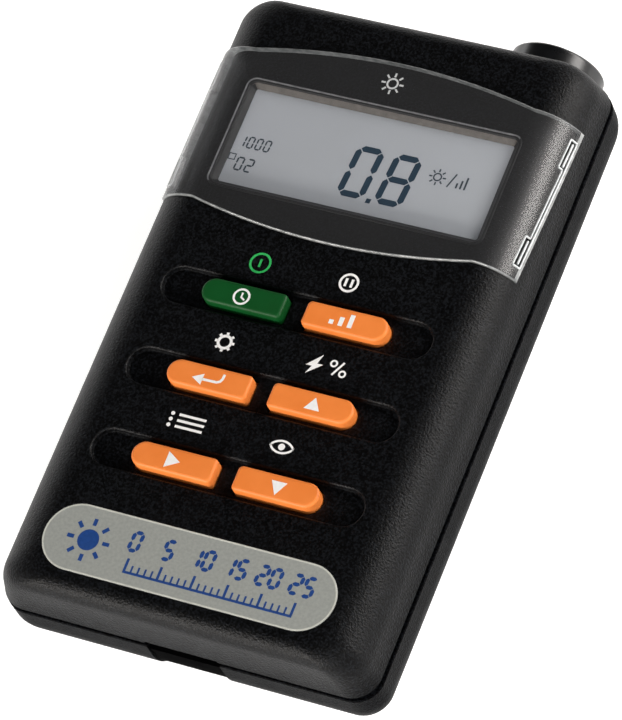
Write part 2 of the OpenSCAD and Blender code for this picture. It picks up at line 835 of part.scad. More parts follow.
// Silicone mat on the board, with a dome ring round each key stem
module keypad_mat() {
    z0 = board_z1 + sheet_gap;
    hole = stem_r + dome_gap;
    color("#d9d4c8") difference() {
        union() {
            translate([0, (key_rows[0] + key_rows[2]) / 2, z0]) linear_extrude(mat_t)
                rounded(mat_w, key_rows[0] - key_rows[2] + 2 * mat_rim, mat_corner);
            for (y = key_rows, s = [-1, 1])
                translate([s * key_mid, y, z0])
                    cylinder(dome_top - z0, hole + dome_wall, hole + dome_wall_top);
        }
        for (y = key_rows, s = [-1, 1])
            translate([s * key_mid, y, z0 - over]) cylinder(dome_top - z0 + 2 * over, hole, hole);
    }
}

module key_power_time() { color(key_green) key_solid(0, -1); }
module key_hold_mode() { color(key_orange) key_solid(0, 1); }
module key_set_enter() { color(key_orange) key_solid(1, -1); }
module key_power_up() { color(key_orange) key_solid(1, 1); }
module key_memory_right() { color(key_orange) key_solid(2, -1); }
module key_read_down() { color(key_orange) key_solid(2, 1); }
module pill_power_time() { pill_solid(0, -1); }
module pill_hold_mode() { pill_solid(0, 1); }
module pill_set_enter() { pill_solid(1, -1); }
module pill_power_up() { pill_solid(1, 1); }
module pill_memory_right() { pill_solid(2, -1); }
module pill_read_down() { pill_solid(2, 1); }

module main_board() {
    color(board_green) difference() {
        translate([0, board_mid, board_z0]) linear_extrude(board_t) rounded(board_w, board_l, board_corner);
        for (p = board_screw_places) translate([p[0], p[1], board_z0 - over])
            cylinder(board_t + 2 * over, board_screw_r + screw_gap, board_screw_r + screw_gap);
    }
}

function on_board(share) = [share[0] * board_w / 2, board_mid + share[1] * board_l / 2];

module board_chips() {
    color("#202020") {
        translate(concat(on_board(mcu_share), [board_z0 - part_gap - mcu_h]))
            linear_extrude(mcu_h) square([mcu_w, mcu_w], center = true);
        for (s = chip_shares) translate(concat(on_board(s), [board_z0 - part_gap - chip_h]))
            linear_extrude(chip_h) square([chip_w, chip_l], center = true);
    }
}

module board_crystal() {
    p = on_board(crystal_share);
    color(metal) rod_y([p[0], p[1], board_z0 - part_gap - can_r], can_l, can_r);
}

module board_screws() {
    color(metal) for (p = board_screw_places) translate([p[0], p[1], board_z0]) {
        translate([0, 0, -part_gap]) cylinder(board_screw_l, board_screw_r, board_screw_r);
        translate([0, 0, -part_gap - board_head_h]) cylinder(board_head_h, board_head_r, board_head_r);
    }
}

module case_screws() {
    color(metal) for (p = case_screw_places) translate([p[0], p[1], case_seat_z]) {
        translate([0, 0, -part_gap]) cylinder(case_screw_l, case_screw_r, case_screw_r);
        translate([0, 0, -part_gap - case_head_h]) cylinder(case_head_h, case_head_r, case_head_r);
    }
}

module sensor_housing() {
    color(case_black) translate([sensor_x, sensor_y0, sensor_z]) rotate([-90, 0, 0]) difference() {
        union() {
            cylinder(sensor_face - sensor_y0 - boss_edge, boss_r, boss_r);
            translate([0, 0, sensor_face - sensor_y0 - boss_edge])
                cylinder(boss_edge, boss_r, boss_r - boss_edge);
            translate([0, 0, cradle_in + cradle_t + sensor_flange_gap])
                cylinder(sensor_flange_t, flange_r, flange_r);
        }
        translate([0, 0, -over]) cylinder(sensor_face - sensor_y0, bore_r, bore_r);
        translate([0, 0, filter_y - sensor_y0 - diffuser_gap])
            cylinder(sensor_back, filter_r + diffuser_gap, filter_r + diffuser_gap);
        translate([0, 0, seal_y - sensor_y0])
            cylinder(sensor_back, diffuser_r + diffuser_gap, diffuser_r + diffuser_gap);
    }
}

module sensor_diffuser() {
    color("#e9e7e0") rod_y([sensor_x, diffuser_y, sensor_z], diffuser_t, diffuser_r);
}

module sensor_seal() {
    color(carbon) translate([sensor_x, seal_y + part_gap, sensor_z]) rotate([-90, 0, 0]) difference() {
        cylinder(seal_t - 2 * part_gap, diffuser_r, diffuser_r);
        translate([0, 0, -over]) cylinder(seal_t + 2 * over, diffuser_r - seal_w, diffuser_r - seal_w);
    }
}

module sensor_filter() {
    color("#7d8fa0") rod_y([sensor_x, filter_y, sensor_z], filter_t - part_gap, filter_r);
}

module photodiode() {
    color(metal) {
        rod_y([sensor_x, diode_y, sensor_z], diode_h, bore_r - diode_in);
        rod_y([sensor_x, diode_y, sensor_z], diode_rim_t, bore_r - diode_rim_in);
    }
}

// Two leads from the photodiode's base, back along its axis and up to the board
module sensor_leads() {
    start = diode_y - part_gap;
    end = board_y1 - lead_run;
    color("#c9b060") for (s = [-1, 1]) {
        rod_y([sensor_x + s * lead_x, end, sensor_z], start - end, lead_r);
        translate([sensor_x + s * lead_x, end, sensor_z]) sphere(lead_r);
        translate([sensor_x + s * lead_x, end, sensor_z])
            cylinder(board_z0 - part_gap - sensor_z, lead_r, lead_r);
    }
}

module data_jack() {
    x0 = -body_w / 2 + jack_sink;
    x1 = -body_w / 2 + rear_inset(board_z0 - jack_under - jack_body_h, wall_t) + jack_gap;
    color("#27282a") difference() {
        union() {
            rod_x([x0, jack_y, jack_z], x1 - x0 + over, jack_r + jack_wall);
            box([x1, jack_y - jack_body_w / 2, board_z0 - jack_under - jack_body_h],
                [x0 + jack_depth + jack_wall, jack_y + jack_body_w / 2, board_z0 - jack_under]);
        }
        rod_x([x0 - over, jack_y, jack_z], jack_depth + over, jack_r);
    }
}

module tripod_nut() {
    color(brass_yellow) translate([0, tripod_y, tripod_sink]) difference() {
        cylinder(tripod_l - tripod_gap, tripod_r + tripod_wall, tripod_r + tripod_wall);
        translate([0, 0, -over]) cylinder(tripod_l + 2 * over, tripod_r, tripod_r);
    }
}

// A cell with its button towards +Y for up = 1 and towards -Y for up = -1
module battery(i) {
    up = i % 2 == 0 ? 1 : -1;
    tail = up > 0 ? bay_y0 + plate_t + spring_l + bay_slack / 2 : bay_y1 - plate_t - spring_l - bay_slack / 2;
    color(cell_sleeve) translate([cells[i], tail, cell_z]) rotate([-90 * up, 0, 0]) {
        cylinder(cell_l - nub_h - cell_edge, cell_d / 2, cell_d / 2);
        translate([0, 0, cell_l - nub_h - cell_edge]) cylinder(cell_edge, cell_d / 2, cell_d / 2 - cap_lip);
        cylinder(cell_l, nub_r, nub_r);
    }
}
module battery_1() { battery(0); }
module battery_2() { battery(1); }
module battery_3() { battery(2); }
module battery_4() { battery(3); }

// A conical spring wound from its plate to the end of its cell
module spring() {
    n = spring_turns * spring_steps;
    rise = spring_l - 2 * (spring_wire + spring_end_gap);
    function mid(i) = let (t = i / n, a = 360 * i / spring_steps, r = spring_r0 + (spring_r1 - spring_r0) * t)
        [r * cos(a), r * sin(a), spring_wire + spring_end_gap + rise * t];
    function around(i) = let (c = mid(i), a = 360 * i / spring_steps, out = [cos(a), sin(a), 0])
        [for (k = [0:spring_sides - 1]) let (b = -360 * k / spring_sides)
            c + spring_wire * (cos(b) * out + sin(b) * [0, 0, 1])];
    loft([for (i = [0:n]) around(i)]);
}

// The middle line of a spring climbs this far in a turn, less the wire's own thickness
spring_turn_gap = (spring_l - 2 * (spring_wire + spring_end_gap)) / spring_turns - 2 * spring_wire;
echo(spring_turn_gap = spring_turn_gap);

module battery_springs() {
    color(metal) for (i = [0:3]) {
        up = i % 2 == 0 ? 1 : -1;
        translate([cells[i], up > 0 ? bay_y0 + plate_t : bay_y1 - plate_t, cell_z])
            rotate([-90 * up, 0, 0]) spring();
    }
}

// Contact plates: a pair of cells shares each one, but the outer two at the upper end
module battery_plates() {
    z0 = cell_z - plate_h / 2;
    z1 = cell_z + plate_h / 2;
    low = bay_y0 + sheet_gap;
    high = bay_y1 - sheet_gap;
    w = plate_w / 2;
    color(metal) {
        for (i = [0, 2]) box([cells[i] - w, low, z0], [cells[i + 1] + w, low + plate_t - 2 * sheet_gap, z1]);
        box([cells[1] - w, high - plate_t + 2 * sheet_gap, z0], [cells[2] + w, high, z1]);
        for (i = [0, 3]) {
            box([cells[i] - w, high - plate_t + 2 * sheet_gap, z0], [cells[i] + w, high, z1]);
        }
    }
}

// A supply lead from the foot of the roof up to the board
module supply_lead(i) {
    translate([cells[i], bay_y1 + bay_wall + wire_r + wire_gap, roof_z + roof_t / 2])
        cylinder(board_z0 - roof_z - roof_t / 2 - part_gap, wire_r, wire_r);
}
module lead_red() { color("#b02020") supply_lead(0); }
module lead_black() { color("#202020") supply_lead(3); }

// Latch tongue: from the door's lower edge up along the end wall to the notch
module tongue() {
    half = notch_w / 2 - tongue_gap;
    top = part_z - tongue_below;
    function on_end(d, a) = let (p = under_point(d, a)) [y_bot + p[0], p[1]];
    function on_back(d, a) = let (p = back_point(d, a)) [y_bot + p[0], p[1]];
    rotate([90, 0, 90]) translate([0, 0, -half]) linear_extrude(2 * half)
        polygon([
            on_back(tongue_low_in, under_tilt),
            on_end(tongue_mid_in, under_tilt),
            on_end(tongue_top_in, 0),
            [y_bot + tongue_top_in, top - tongue_lip_h - tongue_lip],
            [y_bot + tongue_top_in - tongue_lip, top - tongue_lip_h],
            [y_bot + tongue_top_in - tongue_lip, top],
            [y_bot + tongue_top_in + tongue_t, top],
            on_end(tongue_top_in + tongue_t, 0),
            on_end(tongue_mid_in + tongue_t, under_tilt),
            on_back(tongue_low_in + tongue_t, under_tilt)]);
}

module battery_door() {
    color(door_black) {
        difference() {
            intersection() {
                rear_skin(0, rear_top);
                door_prism(0, hinge_y, door_rise);
            }
            rear_skin(wall_t, part_z);
            for (s = [0, 1]) mirror([s, 0, 0])
                box([ear_in - door_gap, hinge_y - hinge_r - door_gap, -over],
                    [ear_in + ear_t + door_gap, hinge_y + over, door_rise + over]);
            for (s = [0, 1]) mirror([s, 0, 0])
                box([ear_in, hinge_y - 2 * door_gap, -over], [body_w / 2, hinge_y + over, door_rise + over]);
        }
        rod_x([door_gap - ear_in, hinge_y, hinge_z], 2 * (ear_in - door_gap), hinge_r);
        rod_x([-ear_in - ear_t, hinge_y, hinge_z], 2 * (ear_in + ear_t), pin_r);
        tongue();
    }
}

// Foam pad on the inside of the door
module door_pad() {
    color("#3c3c3c") box(
        [-bay_half + pad_in, bay_y0 + pad_in, wall_t + part_gap],
        [bay_half - pad_in, bay_y1 - pad_in, wall_t + part_gap + pad_t]);
}

module name_plate() {
    color(label_grey) translate([0, y_bot + label_up, body_h - label_sink]) linear_extrude(label_t)
        obround(label_l, label_w);
}

front_case();
rear_case();
window_lens();
lcd_glass();
lcd_reflector();
lcd_holder();
zebra_strips();
keypad_mat();
key_power_time();
key_hold_mode();
key_set_enter();
key_power_up();
key_memory_right();
key_read_down();
pill_power_time();
pill_hold_mode();
pill_set_enter();
pill_power_up();
pill_memory_right();
pill_read_down();
main_board();
board_chips();
board_crystal();
board_screws();
sensor_housing();
sensor_diffuser();
sensor_seal();
sensor_filter();
photodiode();
sensor_leads();
data_jack();
tripod_nut();
battery_1();
battery_2();
battery_3();
battery_4();
battery_springs();
battery_plates();
lead_red();
lead_black();
battery_door();
door_pad();
case_screws();
name_plate();
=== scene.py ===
import math
import bmesh
import bpy
import numpy as np
from mathutils import Matrix, Vector


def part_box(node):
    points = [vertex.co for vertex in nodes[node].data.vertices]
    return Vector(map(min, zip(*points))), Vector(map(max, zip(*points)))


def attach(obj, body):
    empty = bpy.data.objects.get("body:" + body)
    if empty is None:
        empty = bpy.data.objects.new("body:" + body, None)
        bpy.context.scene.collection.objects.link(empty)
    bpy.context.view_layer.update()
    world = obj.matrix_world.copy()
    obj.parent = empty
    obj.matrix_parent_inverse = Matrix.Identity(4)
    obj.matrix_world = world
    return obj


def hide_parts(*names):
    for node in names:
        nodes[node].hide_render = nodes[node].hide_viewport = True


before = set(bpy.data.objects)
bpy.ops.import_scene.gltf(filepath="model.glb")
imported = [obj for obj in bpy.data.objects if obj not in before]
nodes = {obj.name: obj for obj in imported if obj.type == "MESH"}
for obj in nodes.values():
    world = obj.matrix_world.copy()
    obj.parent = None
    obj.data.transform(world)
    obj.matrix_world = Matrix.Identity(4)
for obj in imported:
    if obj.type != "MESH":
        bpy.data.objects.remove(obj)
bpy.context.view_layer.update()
mm = 0.001  # every size below is in millimetres, and the meshes are in metres
degree = math.pi / 180
print("frame loaded:", len(nodes), "nodes")


# Lowest and highest corners of a CAD node, in millimetres
def boxOf(node):
    low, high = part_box(node)
    return np.array(low) / mm, np.array(high) / mm


# Camera: direction as angles from the object, distance to the target, and a long lens
view = dict(azimuth=47.56, elevation=58.68, roll=-29.27, distance=780.2, target=(-7.313, 3.711, 5.424),
            lens=245.61, sensor=36, nearest=0.05)


# The camera looks along -back; it is turned about that axis by the roll
def addCamera():
    turn, rise = view["azimuth"] * degree, view["elevation"] * degree
    back = Vector((math.sin(turn) * math.cos(rise), -math.cos(turn) * math.cos(rise), math.sin(rise)))
    right = (-back).cross(Vector((0, 0, 1))).normalized()
    upright = Matrix((right, back.cross(right), back)).transposed().to_4x4()
    pose = upright @ Matrix.Rotation(view["roll"] * degree, 4, "Z")
    pose.translation = (Vector(view["target"]) + back * view["distance"]) * mm
    data = bpy.data.cameras.new("camera")
    data.lens, data.sensor_width, data.clip_start = view["lens"], view["sensor"], view["nearest"]
    camera = bpy.data.objects.new("camera", data)
    camera.matrix_world = pose
    bpy.context.scene.collection.objects.link(camera)
    bpy.context.scene.camera = camera


# Soft lights: place, target and size of the lamp in metres, its power in watts and its colour
lights = {
    "rightSoftbox": dict(place=(0.25, 0.19, 0.165), target=(0.03, 0.02, 0.03), size=(0.30, 0.125),
                         power=1.25, tint=(1.0, 0.965, 0.93)),
    "farRightSoftbox": dict(place=(0.75, 0.10, 0.32), target=(0, 0, 0.02), size=(0.70, 0.25),
                            power=0.5, tint=(1.0, 0.98, 0.96)),
    "frontSoftbox": dict(place=(-0.22, -0.75, 0.30), target=(0, -0.02, 0.02), size=(0.70, 0.15),
                         power=7.6, tint=(1.0, 0.95, 0.90)),
    "cameraSoftbox": dict(place=(0.45, -0.60, 0.66), target=(0, 0, 0), size=(0.50, 0.50),
                          power=2.7, tint=(1.0, 1.0, 1.0)),
    "leftSoftbox": dict(place=(-0.65, 0.25, 0.10), target=(0, 0, 0.02), size=(0.50, 0.16),
                        power=0.7, tint=(1.0, 1.0, 1.0)),
}


# Rectangular area lamps aimed at the object
def addLights():
    for name, lamp in lights.items():
        data = bpy.data.lights.new(name, "AREA")
        data.shape, data.energy = "RECTANGLE", lamp["power"]
        data.size, data.size_y = lamp["size"]
        data.color = lamp["tint"]
        light = bpy.data.objects.new(name, data)
        light.location = lamp["place"]
        aim = Vector(lamp["target"]) - Vector(lamp["place"])
        light.rotation_euler = aim.to_track_quat("-Z", "Y").to_euler()
        bpy.context.scene.collection.objects.link(light)


# The sky is pale near the horizon and dark overhead, by the height of its direction
sky = dict(horizon=(0.80, 0.80, 0.80, 1), overhead=(0.030, 0.030, 0.032, 1), darkFrom=0.30, strength=0.70)


def addSky():
    world = bpy.data.worlds.new("sky")
    bpy.context.scene.world = world
    world.use_nodes = True
    tree = world.node_tree
    place = tree.nodes.new("ShaderNodeTexCoord")
    split = tree.nodes.new("ShaderNodeSeparateXYZ")
    ramp = tree.nodes.new("ShaderNodeValToRGB")
    ramp.color_ramp.elements[0].color = sky["horizon"]
    ramp.color_ramp.elements[1].color = sky["overhead"]
    ramp.color_ramp.elements[1].position = sky["darkFrom"]
    back = tree.nodes["Background"]
    back.inputs["Strength"].default_value = sky["strength"]
    tree.links.new(place.outputs["Generated"], split.inputs[0])
    tree.links.new(split.outputs["Z"], ramp.inputs[0])
    tree.links.new(ramp.outputs["Color"], back.inputs["Color"])


addCamera()
addLights()
addSky()
bpy.context.scene.view_settings.view_transform = "Standard"
print("camera, lights and sky ready")


# Materials. A recipe is a small tree: colour and roughness varied by noise, and a grain in the bump
def newTree(name):
    material = bpy.data.materials.new(name)
    material.use_nodes = True
    tree = material.node_tree
    return material, tree, tree.nodes["Principled BSDF"]


# Noise on Object coordinates with a cell of the given size in millimetres
def noiseNode(tree, cell, detail, kind="ShaderNodeTexNoise", stretch=None):
    place = tree.nodes.new("ShaderNodeTexCoord")
    noise = tree.nodes.new(kind)
    noise.inputs["Scale"].default_value = 1 / (cell * mm)
    if kind == "ShaderNodeTexNoise":
        noise.inputs["Detail"].default_value = detail
    if stretch is None:
        tree.links.new(place.outputs["Object"], noise.inputs["Vector"])
    else:
        mapping = tree.nodes.new("ShaderNodeMapping")
        mapping.inputs["Scale"].default_value = stretch
        tree.links.new(place.outputs["Object"], mapping.inputs["Vector"])
        tree.links.new(mapping.outputs["Vector"], noise.inputs["Vector"])
    return noise


# A ramp from one colour to another between two values of its input
def rampNode(tree, source, low, high, start, end):
    ramp = tree.nodes.new("ShaderNodeValToRGB")
    ramp.color_ramp.elements[0].position, ramp.color_ramp.elements[0].color = start, (*low, 1)
    ramp.color_ramp.elements[1].position, ramp.color_ramp.elements[1].color = end, (*high, 1)
    tree.links.new(source, ramp.inputs[0])
    return ramp.outputs["Color"]


# A number that runs from low to high between two values of its input
def spreadNode(tree, source, low, high, start=0.3, end=0.7):
    spread = tree.nodes.new("ShaderNodeMapRange")
    spread.inputs["From Min"].default_value, spread.inputs["From Max"].default_value = start, end
    spread.inputs["To Min"].default_value, spread.inputs["To Max"].default_value = low, high
    tree.links.new(source, spread.inputs["Value"])
    return spread.outputs["Result"]


# Shared by the recipes: cells of the colour and of the wear as multiples of the grain, how fine each noise
# is, and the roughness of a clear coat
recipe = dict(tintCell=1.7, tintDetail=3.0, wearCell=9, wearDetail=4.0, grainDetail=2.0, coatRough=0.08)
# The case's walls are matter than its face: their gloss grows between these two heights
matWall = dict(low=22.5, high=31.0)


# A finished surface: two colours mixed by noise, a range of roughness, and grains of a size and height
def surface(name, dark, light, rough, grain=0.4, height=0.0, cell=None, metal=0.0, coat=0.0, sheen=0.0,
            specular=0.5, stretch=None, pits=False, wall=None, spread=(0.35, 0.68)):
    material, tree, shader = newTree(name)
    tint = noiseNode(tree, cell or grain * recipe["tintCell"], recipe["tintDetail"], stretch=stretch)
    tree.links.new(rampNode(tree, tint.outputs["Fac"], dark, light, *spread), shader.inputs["Base Color"])
    wear = noiseNode(tree, grain * recipe["wearCell"], recipe["wearDetail"], stretch=stretch)
    tree.links.new(spreadNode(tree, wear.outputs["Fac"], *rough), shader.inputs["Roughness"])
    shader.inputs["Metallic"].default_value = metal
    shader.inputs["Coat Weight"].default_value = coat
    shader.inputs["Coat Roughness"].default_value = recipe["coatRough"]
    shader.inputs["Sheen Weight"].default_value = sheen
    shader.inputs["Specular IOR Level"].default_value = specular
    if wall is not None:
        place = tree.nodes.new("ShaderNodeTexCoord")
        split = tree.nodes.new("ShaderNodeSeparateXYZ")
        tree.links.new(place.outputs["Object"], split.inputs[0])
        gloss = spreadNode(tree, split.outputs["Z"], wall, specular,
                           matWall["low"] * mm, matWall["high"] * mm)
        tree.links.new(gloss, shader.inputs["Specular IOR Level"])
    if height:
        kind = "ShaderNodeTexVoronoi" if pits else "ShaderNodeTexNoise"
        grains = noiseNode(tree, grain, recipe["grainDetail"], kind, stretch)
        bump = tree.nodes.new("ShaderNodeBump")
        bump.inputs["Strength"].default_value = 1.0
        bump.inputs["Distance"].default_value = height * mm
        tree.links.new(grains.outputs["Distance" if pits else "Fac"], bump.inputs["Height"])
        tree.links.new(bump.outputs["Normal"], shader.inputs["Normal"])
    return material


# Cells and detail of the haze and of the smears on clear plastic, and the power with which its gloss grows
smoke = dict(hazeCell=6.0, hazeDetail=3.0, hazeDark=0.92, hazeSpread=(0.3, 0.7), smearCell=9.0,
             smearDetail=4.0, smearLow=0.95, smearHigh=1.08, growth=5)


# Smoky clear plastic: light passes but for a haze, and a gloss grows from a mirror share to grazing angles
def smokyClear(name, through, haze, hazeShare, rough, mirror=0.045):
    material, tree, shader = newTree(name)
    tree.nodes.remove(shader)
    clear = tree.nodes.new("ShaderNodeBsdfTransparent")
    clear.inputs["Color"].default_value = (*through, 1)
    cloud = tree.nodes.new("ShaderNodeBsdfDiffuse")
    tint = noiseNode(tree, smoke["hazeCell"], smoke["hazeDetail"]).outputs["Fac"]
    dark = [c * smoke["hazeDark"] for c in haze]
    tree.links.new(rampNode(tree, tint, dark, haze, *smoke["hazeSpread"]), cloud.inputs["Color"])
    gloss = tree.nodes.new("ShaderNodeBsdfGlossy")
    smear = noiseNode(tree, smoke["smearCell"], smoke["smearDetail"]).outputs["Fac"]
    smeared = spreadNode(tree, smear, rough * smoke["smearLow"], rough * smoke["smearHigh"])
    tree.links.new(smeared, gloss.inputs["Roughness"])
    facing = tree.nodes.new("ShaderNodeLayerWeight")
    power = tree.nodes.new("ShaderNodeMath")
    power.operation = "POWER"
    power.inputs[1].default_value = smoke["growth"]
    tree.links.new(facing.outputs["Facing"], power.inputs[0])
    body = tree.nodes.new("ShaderNodeMixShader")
    body.inputs[0].default_value = hazeShare
    whole = tree.nodes.new("ShaderNodeMixShader")
    share = spreadNode(tree, power.outputs[0], mirror, 1.0 if mirror else 0.0, 0, 1)
    tree.links.new(share, whole.inputs[0])
    output = tree.nodes["Material Output"]
    for source, socket in ((clear, body.inputs[1]), (cloud, body.inputs[2]), (body, whole.inputs[1]),
                           (gloss, whole.inputs[2]), (whole, output.inputs["Surface"])):
        tree.links.new(source.outputs[0], socket)
    return material


# Every finish on the meter, by the name that its pieces use
paint = {
    "case": surface("case_black", (0.0001, 0.0001, 0.0002), (0.0066, 0.0076, 0.0094), (0.40, 0.46), 0.34,
                    0.115, specular=0.17, cell=0.36, wall=0.018, spread=(0.46, 0.62)),
    "door": surface("door_black", (0.0001, 0.0001, 0.0002), (0.0068, 0.0076, 0.0092), (0.42, 0.48), 0.34,
                    0.115, specular=0.17, cell=0.36, wall=0.018, spread=(0.46, 0.62)),
    # painted shade: a near-black, matt finish for the latch tongue, standing for the shade in the notch
    "latch": surface("latch_painted_shade", (0.0008, 0.0008, 0.0009), (0.0016, 0.0016, 0.0018), (0.62, 0.72), 0.5,
                     0.01, specular=0.004),
    "boss": surface("boss_black", (0.0040, 0.0043, 0.0050), (0.0070, 0.0075, 0.0085), (0.24, 0.32), 0.9,
                    0.004),
    "window": smokyClear("window_smoke", (0.90, 0.91, 0.92), (0.165, 0.168, 0.175), 0.11, 0.31),
    "windowUnder": smokyClear("window_under", (0.98, 0.98, 0.98), (0.10, 0.10, 0.10), 0.01, 0.40, 0.0),
    # painted highlight: the window's rim faces are pale grey where its rounded clear edges catch the light
    "windowRimHighlight": surface("window_rim_painted_highlight", (0.14, 0.15, 0.15), (0.30, 0.31, 0.31), (0.08, 0.16), 0.8, 0.002,
                         coat=0.6),
    # painted highlight: the window's beads are pale lines where the lens's edges catch the light
    "windowBead": surface("window_bead", (0.50, 0.52, 0.53), (0.66, 0.68, 0.69), (0.10, 0.18), 0.8, 0.002,
                          coat=0.6),
    # painted highlight: the pale line of the display rim on its lit left and top sides
    "bezelEdgeHighlight": surface("bezel_edge_painted_highlight", (0.16, 0.16, 0.165), (0.24, 0.24, 0.245), (0.16, 0.24), 0.8, 0.002),
    "display": surface("display_grey", (0.68, 0.705, 0.745), (0.71, 0.735, 0.785), (0.30, 0.38), 1.5, 0.0,
                       cell=14.0),
    "bezel": surface("display_bezel", (0.004, 0.004, 0.005), (0.007, 0.007, 0.008), (0.42, 0.50), 0.8,
                     0.003, specular=0.3),
    # painted light: the warm grey of the bezel's upper wall, which faces the front lamp
    "bezelLit": surface("display_bezel_painted_light", (0.085, 0.070, 0.058), (0.125, 0.105, 0.088), (0.40, 0.48),
                         0.8, 0.003),
    "segment": surface("display_ink", (0.008, 0.042, 0.080), (0.014, 0.054, 0.098), (0.35, 0.42), 1.0,
                       0.0),
    "faintSegment": surface("display_faint_ink", (0.050, 0.072, 0.095), (0.062, 0.086, 0.110),
                            (0.35, 0.42), 1.0, 0.0),
    "keyOrange": surface("key_orange", (0.88, 0.230, 0.040), (0.94, 0.262, 0.052), (0.46, 0.54), 0.5,
                         0.008, cell=5.0, specular=0.4),
    "keyGreen": surface("key_green", (0.0006, 0.062, 0.009), (0.0010, 0.078, 0.013), (0.48, 0.56), 0.5,
                        0.008, cell=5.0, specular=0.3),
    "whiteInk": surface("white_ink", (0.90, 0.90, 0.89), (0.96, 0.96, 0.95), (0.45, 0.55), 0.3, 0.004),
    "greenInk": surface("green_ink", (0.02, 0.42, 0.09), (0.04, 0.50, 0.12), (0.45, 0.55), 0.3, 0.004),
    "blueInk": surface("blue_ink", (0.010, 0.050, 0.210), (0.014, 0.062, 0.250), (0.40, 0.50), 0.3, 0.004),
    "label": surface("label_film", (0.300, 0.315, 0.295), (0.345, 0.360, 0.338), (0.34, 0.42), 0.35, 0.006,
                     cell=0.5),
    # painted highlight: the label's raised border is paler where its rounded edge catches the light
    "labelRim": surface("label_rim", (0.52, 0.53, 0.48), (0.60, 0.61, 0.55), (0.30, 0.40), 0.4, 0.003),
    "steel": surface("bright_steel", (0.50, 0.51, 0.53), (0.66, 0.67, 0.69), (0.20, 0.34), 0.6, 0.004,
                     metal=1.0),
    "zinc": surface("zinc_steel", (0.42, 0.43, 0.45), (0.58, 0.58, 0.60), (0.26, 0.42), 0.5, 0.006,
                    metal=1.0),
    "brass": surface("turned_brass", (0.62, 0.42, 0.16), (0.78, 0.57, 0.26), (0.20, 0.34), 0.25, 0.006,
                     metal=1.0, stretch=(0.15, 0.15, 3.0)),
    "gold": surface("gold_wire", (0.70, 0.50, 0.20), (0.80, 0.62, 0.30), (0.20, 0.30), 0.4, 0.002,
                    metal=1.0),
    "white": surface("diffuser_white", (0.74, 0.73, 0.70), (0.80, 0.79, 0.76), (0.42, 0.52), 0.3, 0.004),
    "filter": surface("filter_glass", (0.10, 0.16, 0.24), (0.13, 0.19, 0.28), (0.05, 0.09), 1.0, 0.0,
                      coat=0.5),
    "rubber": surface("black_rubber", (0.010, 0.010, 0.010), (0.020, 0.020, 0.021), (0.60, 0.75), 0.3,
                      0.010, sheen=0.1),
    "carbon": surface("carbon_rubber", (0.006, 0.006, 0.006), (0.016, 0.016, 0.017), (0.55, 0.68), 0.25,
                      0.006),
    "silicone": surface("silicone", (0.55, 0.52, 0.45), (0.66, 0.63, 0.56), (0.40, 0.52), 0.8, 0.006,
                        sheen=0.1),
    "zebra": surface("contact_rubber", (0.02, 0.02, 0.02), (0.30, 0.27, 0.22), (0.50, 0.60), 0.20, 0.003,
                     cell=0.2, stretch=(1.0, 0.01, 0.01)),
    "board": surface("solder_mask", (0.004, 0.055, 0.022), (0.010, 0.095, 0.040), (0.20, 0.32), 1.2, 0.006,
                     coat=0.3),
    "chip": surface("chip_resin", (0.010, 0.010, 0.011), (0.022, 0.022, 0.023), (0.48, 0.60), 0.2, 0.006),
    "inner": surface("inner_plastic", (0.010, 0.010, 0.011), (0.018, 0.018, 0.020), (0.36, 0.46), 0.5,
                     0.008),
    "reflector": surface("reflector_film", (0.70, 0.71, 0.70), (0.78, 0.79, 0.78), (0.45, 0.55), 0.3,
                         0.003),
    "sleeve": surface("cell_sleeve", (0.012, 0.040, 0.130), (0.016, 0.055, 0.170), (0.14, 0.22), 3.0,
                      0.004, coat=0.5),
    "sleeveBand": surface("cell_band", (0.60, 0.60, 0.60), (0.70, 0.70, 0.70), (0.16, 0.24), 3.0, 0.003,
                          coat=0.5),
    "redWire": surface("red_wire", (0.36, 0.012, 0.012), (0.48, 0.020, 0.018), (0.30, 0.42), 0.5, 0.004),
    "blackWire": surface("black_wire", (0.008, 0.008, 0.009), (0.016, 0.016, 0.017), (0.30, 0.42), 0.5,
                         0.004),
    "foam": surface("cell_foam", (0.020, 0.020, 0.021), (0.055, 0.055, 0.056), (0.80, 0.92), 0.55, 0.110,
                    sheen=0.2, pits=True),
    "floor": surface("pale_floor", (0.94, 0.94, 0.94), (0.96, 0.96, 0.96), (0.75, 0.85), 40.0, 0.0,
                     specular=0.1),
}
print("materials ready:", len(paint))


# Faces of a grid of points: each cell is a quad, and a closed way joins its last line to its first
def gridFaces(rows, cols, closeRows=False, closeCols=False):
    i = np.arange(rows if closeRows else rows - 1)[:, None]
    j = np.arange(cols if closeCols else cols - 1)[None, :]
    nextI, nextJ = (i + 1) % rows, (j + 1) % cols
    corners = [i * cols + j, i * cols + nextJ, nextI * cols + nextJ, nextI * cols + j]
    return np.stack(corners, -1).reshape(-1, 4).tolist()


# Points closer than this are merged, and edges shorter than this are dissolved, in metres
least = dict(gap=1e-8, edge=1e-9)


# A mesh object from points in millimetres and faces; its faces are turned outwards
def fromPoints(name, points, faces):
    mesh = bpy.data.meshes.new(name)
    mesh.from_pydata((np.asarray(points, float).reshape(-1, 3) * mm).tolist(), [], faces)
    work = bmesh.new()
    work.from_mesh(mesh)
    bmesh.ops.remove_doubles(work, verts=work.verts, dist=least["gap"])
    bmesh.ops.dissolve_degenerate(work, edges=work.edges, dist=least["edge"])
    bmesh.ops.recalc_face_normals(work, faces=work.faces)
    work.to_mesh(mesh)
    work.free()
    piece = bpy.data.objects.new(name, mesh)
    bpy.context.scene.collection.objects.link(piece)
    return piece


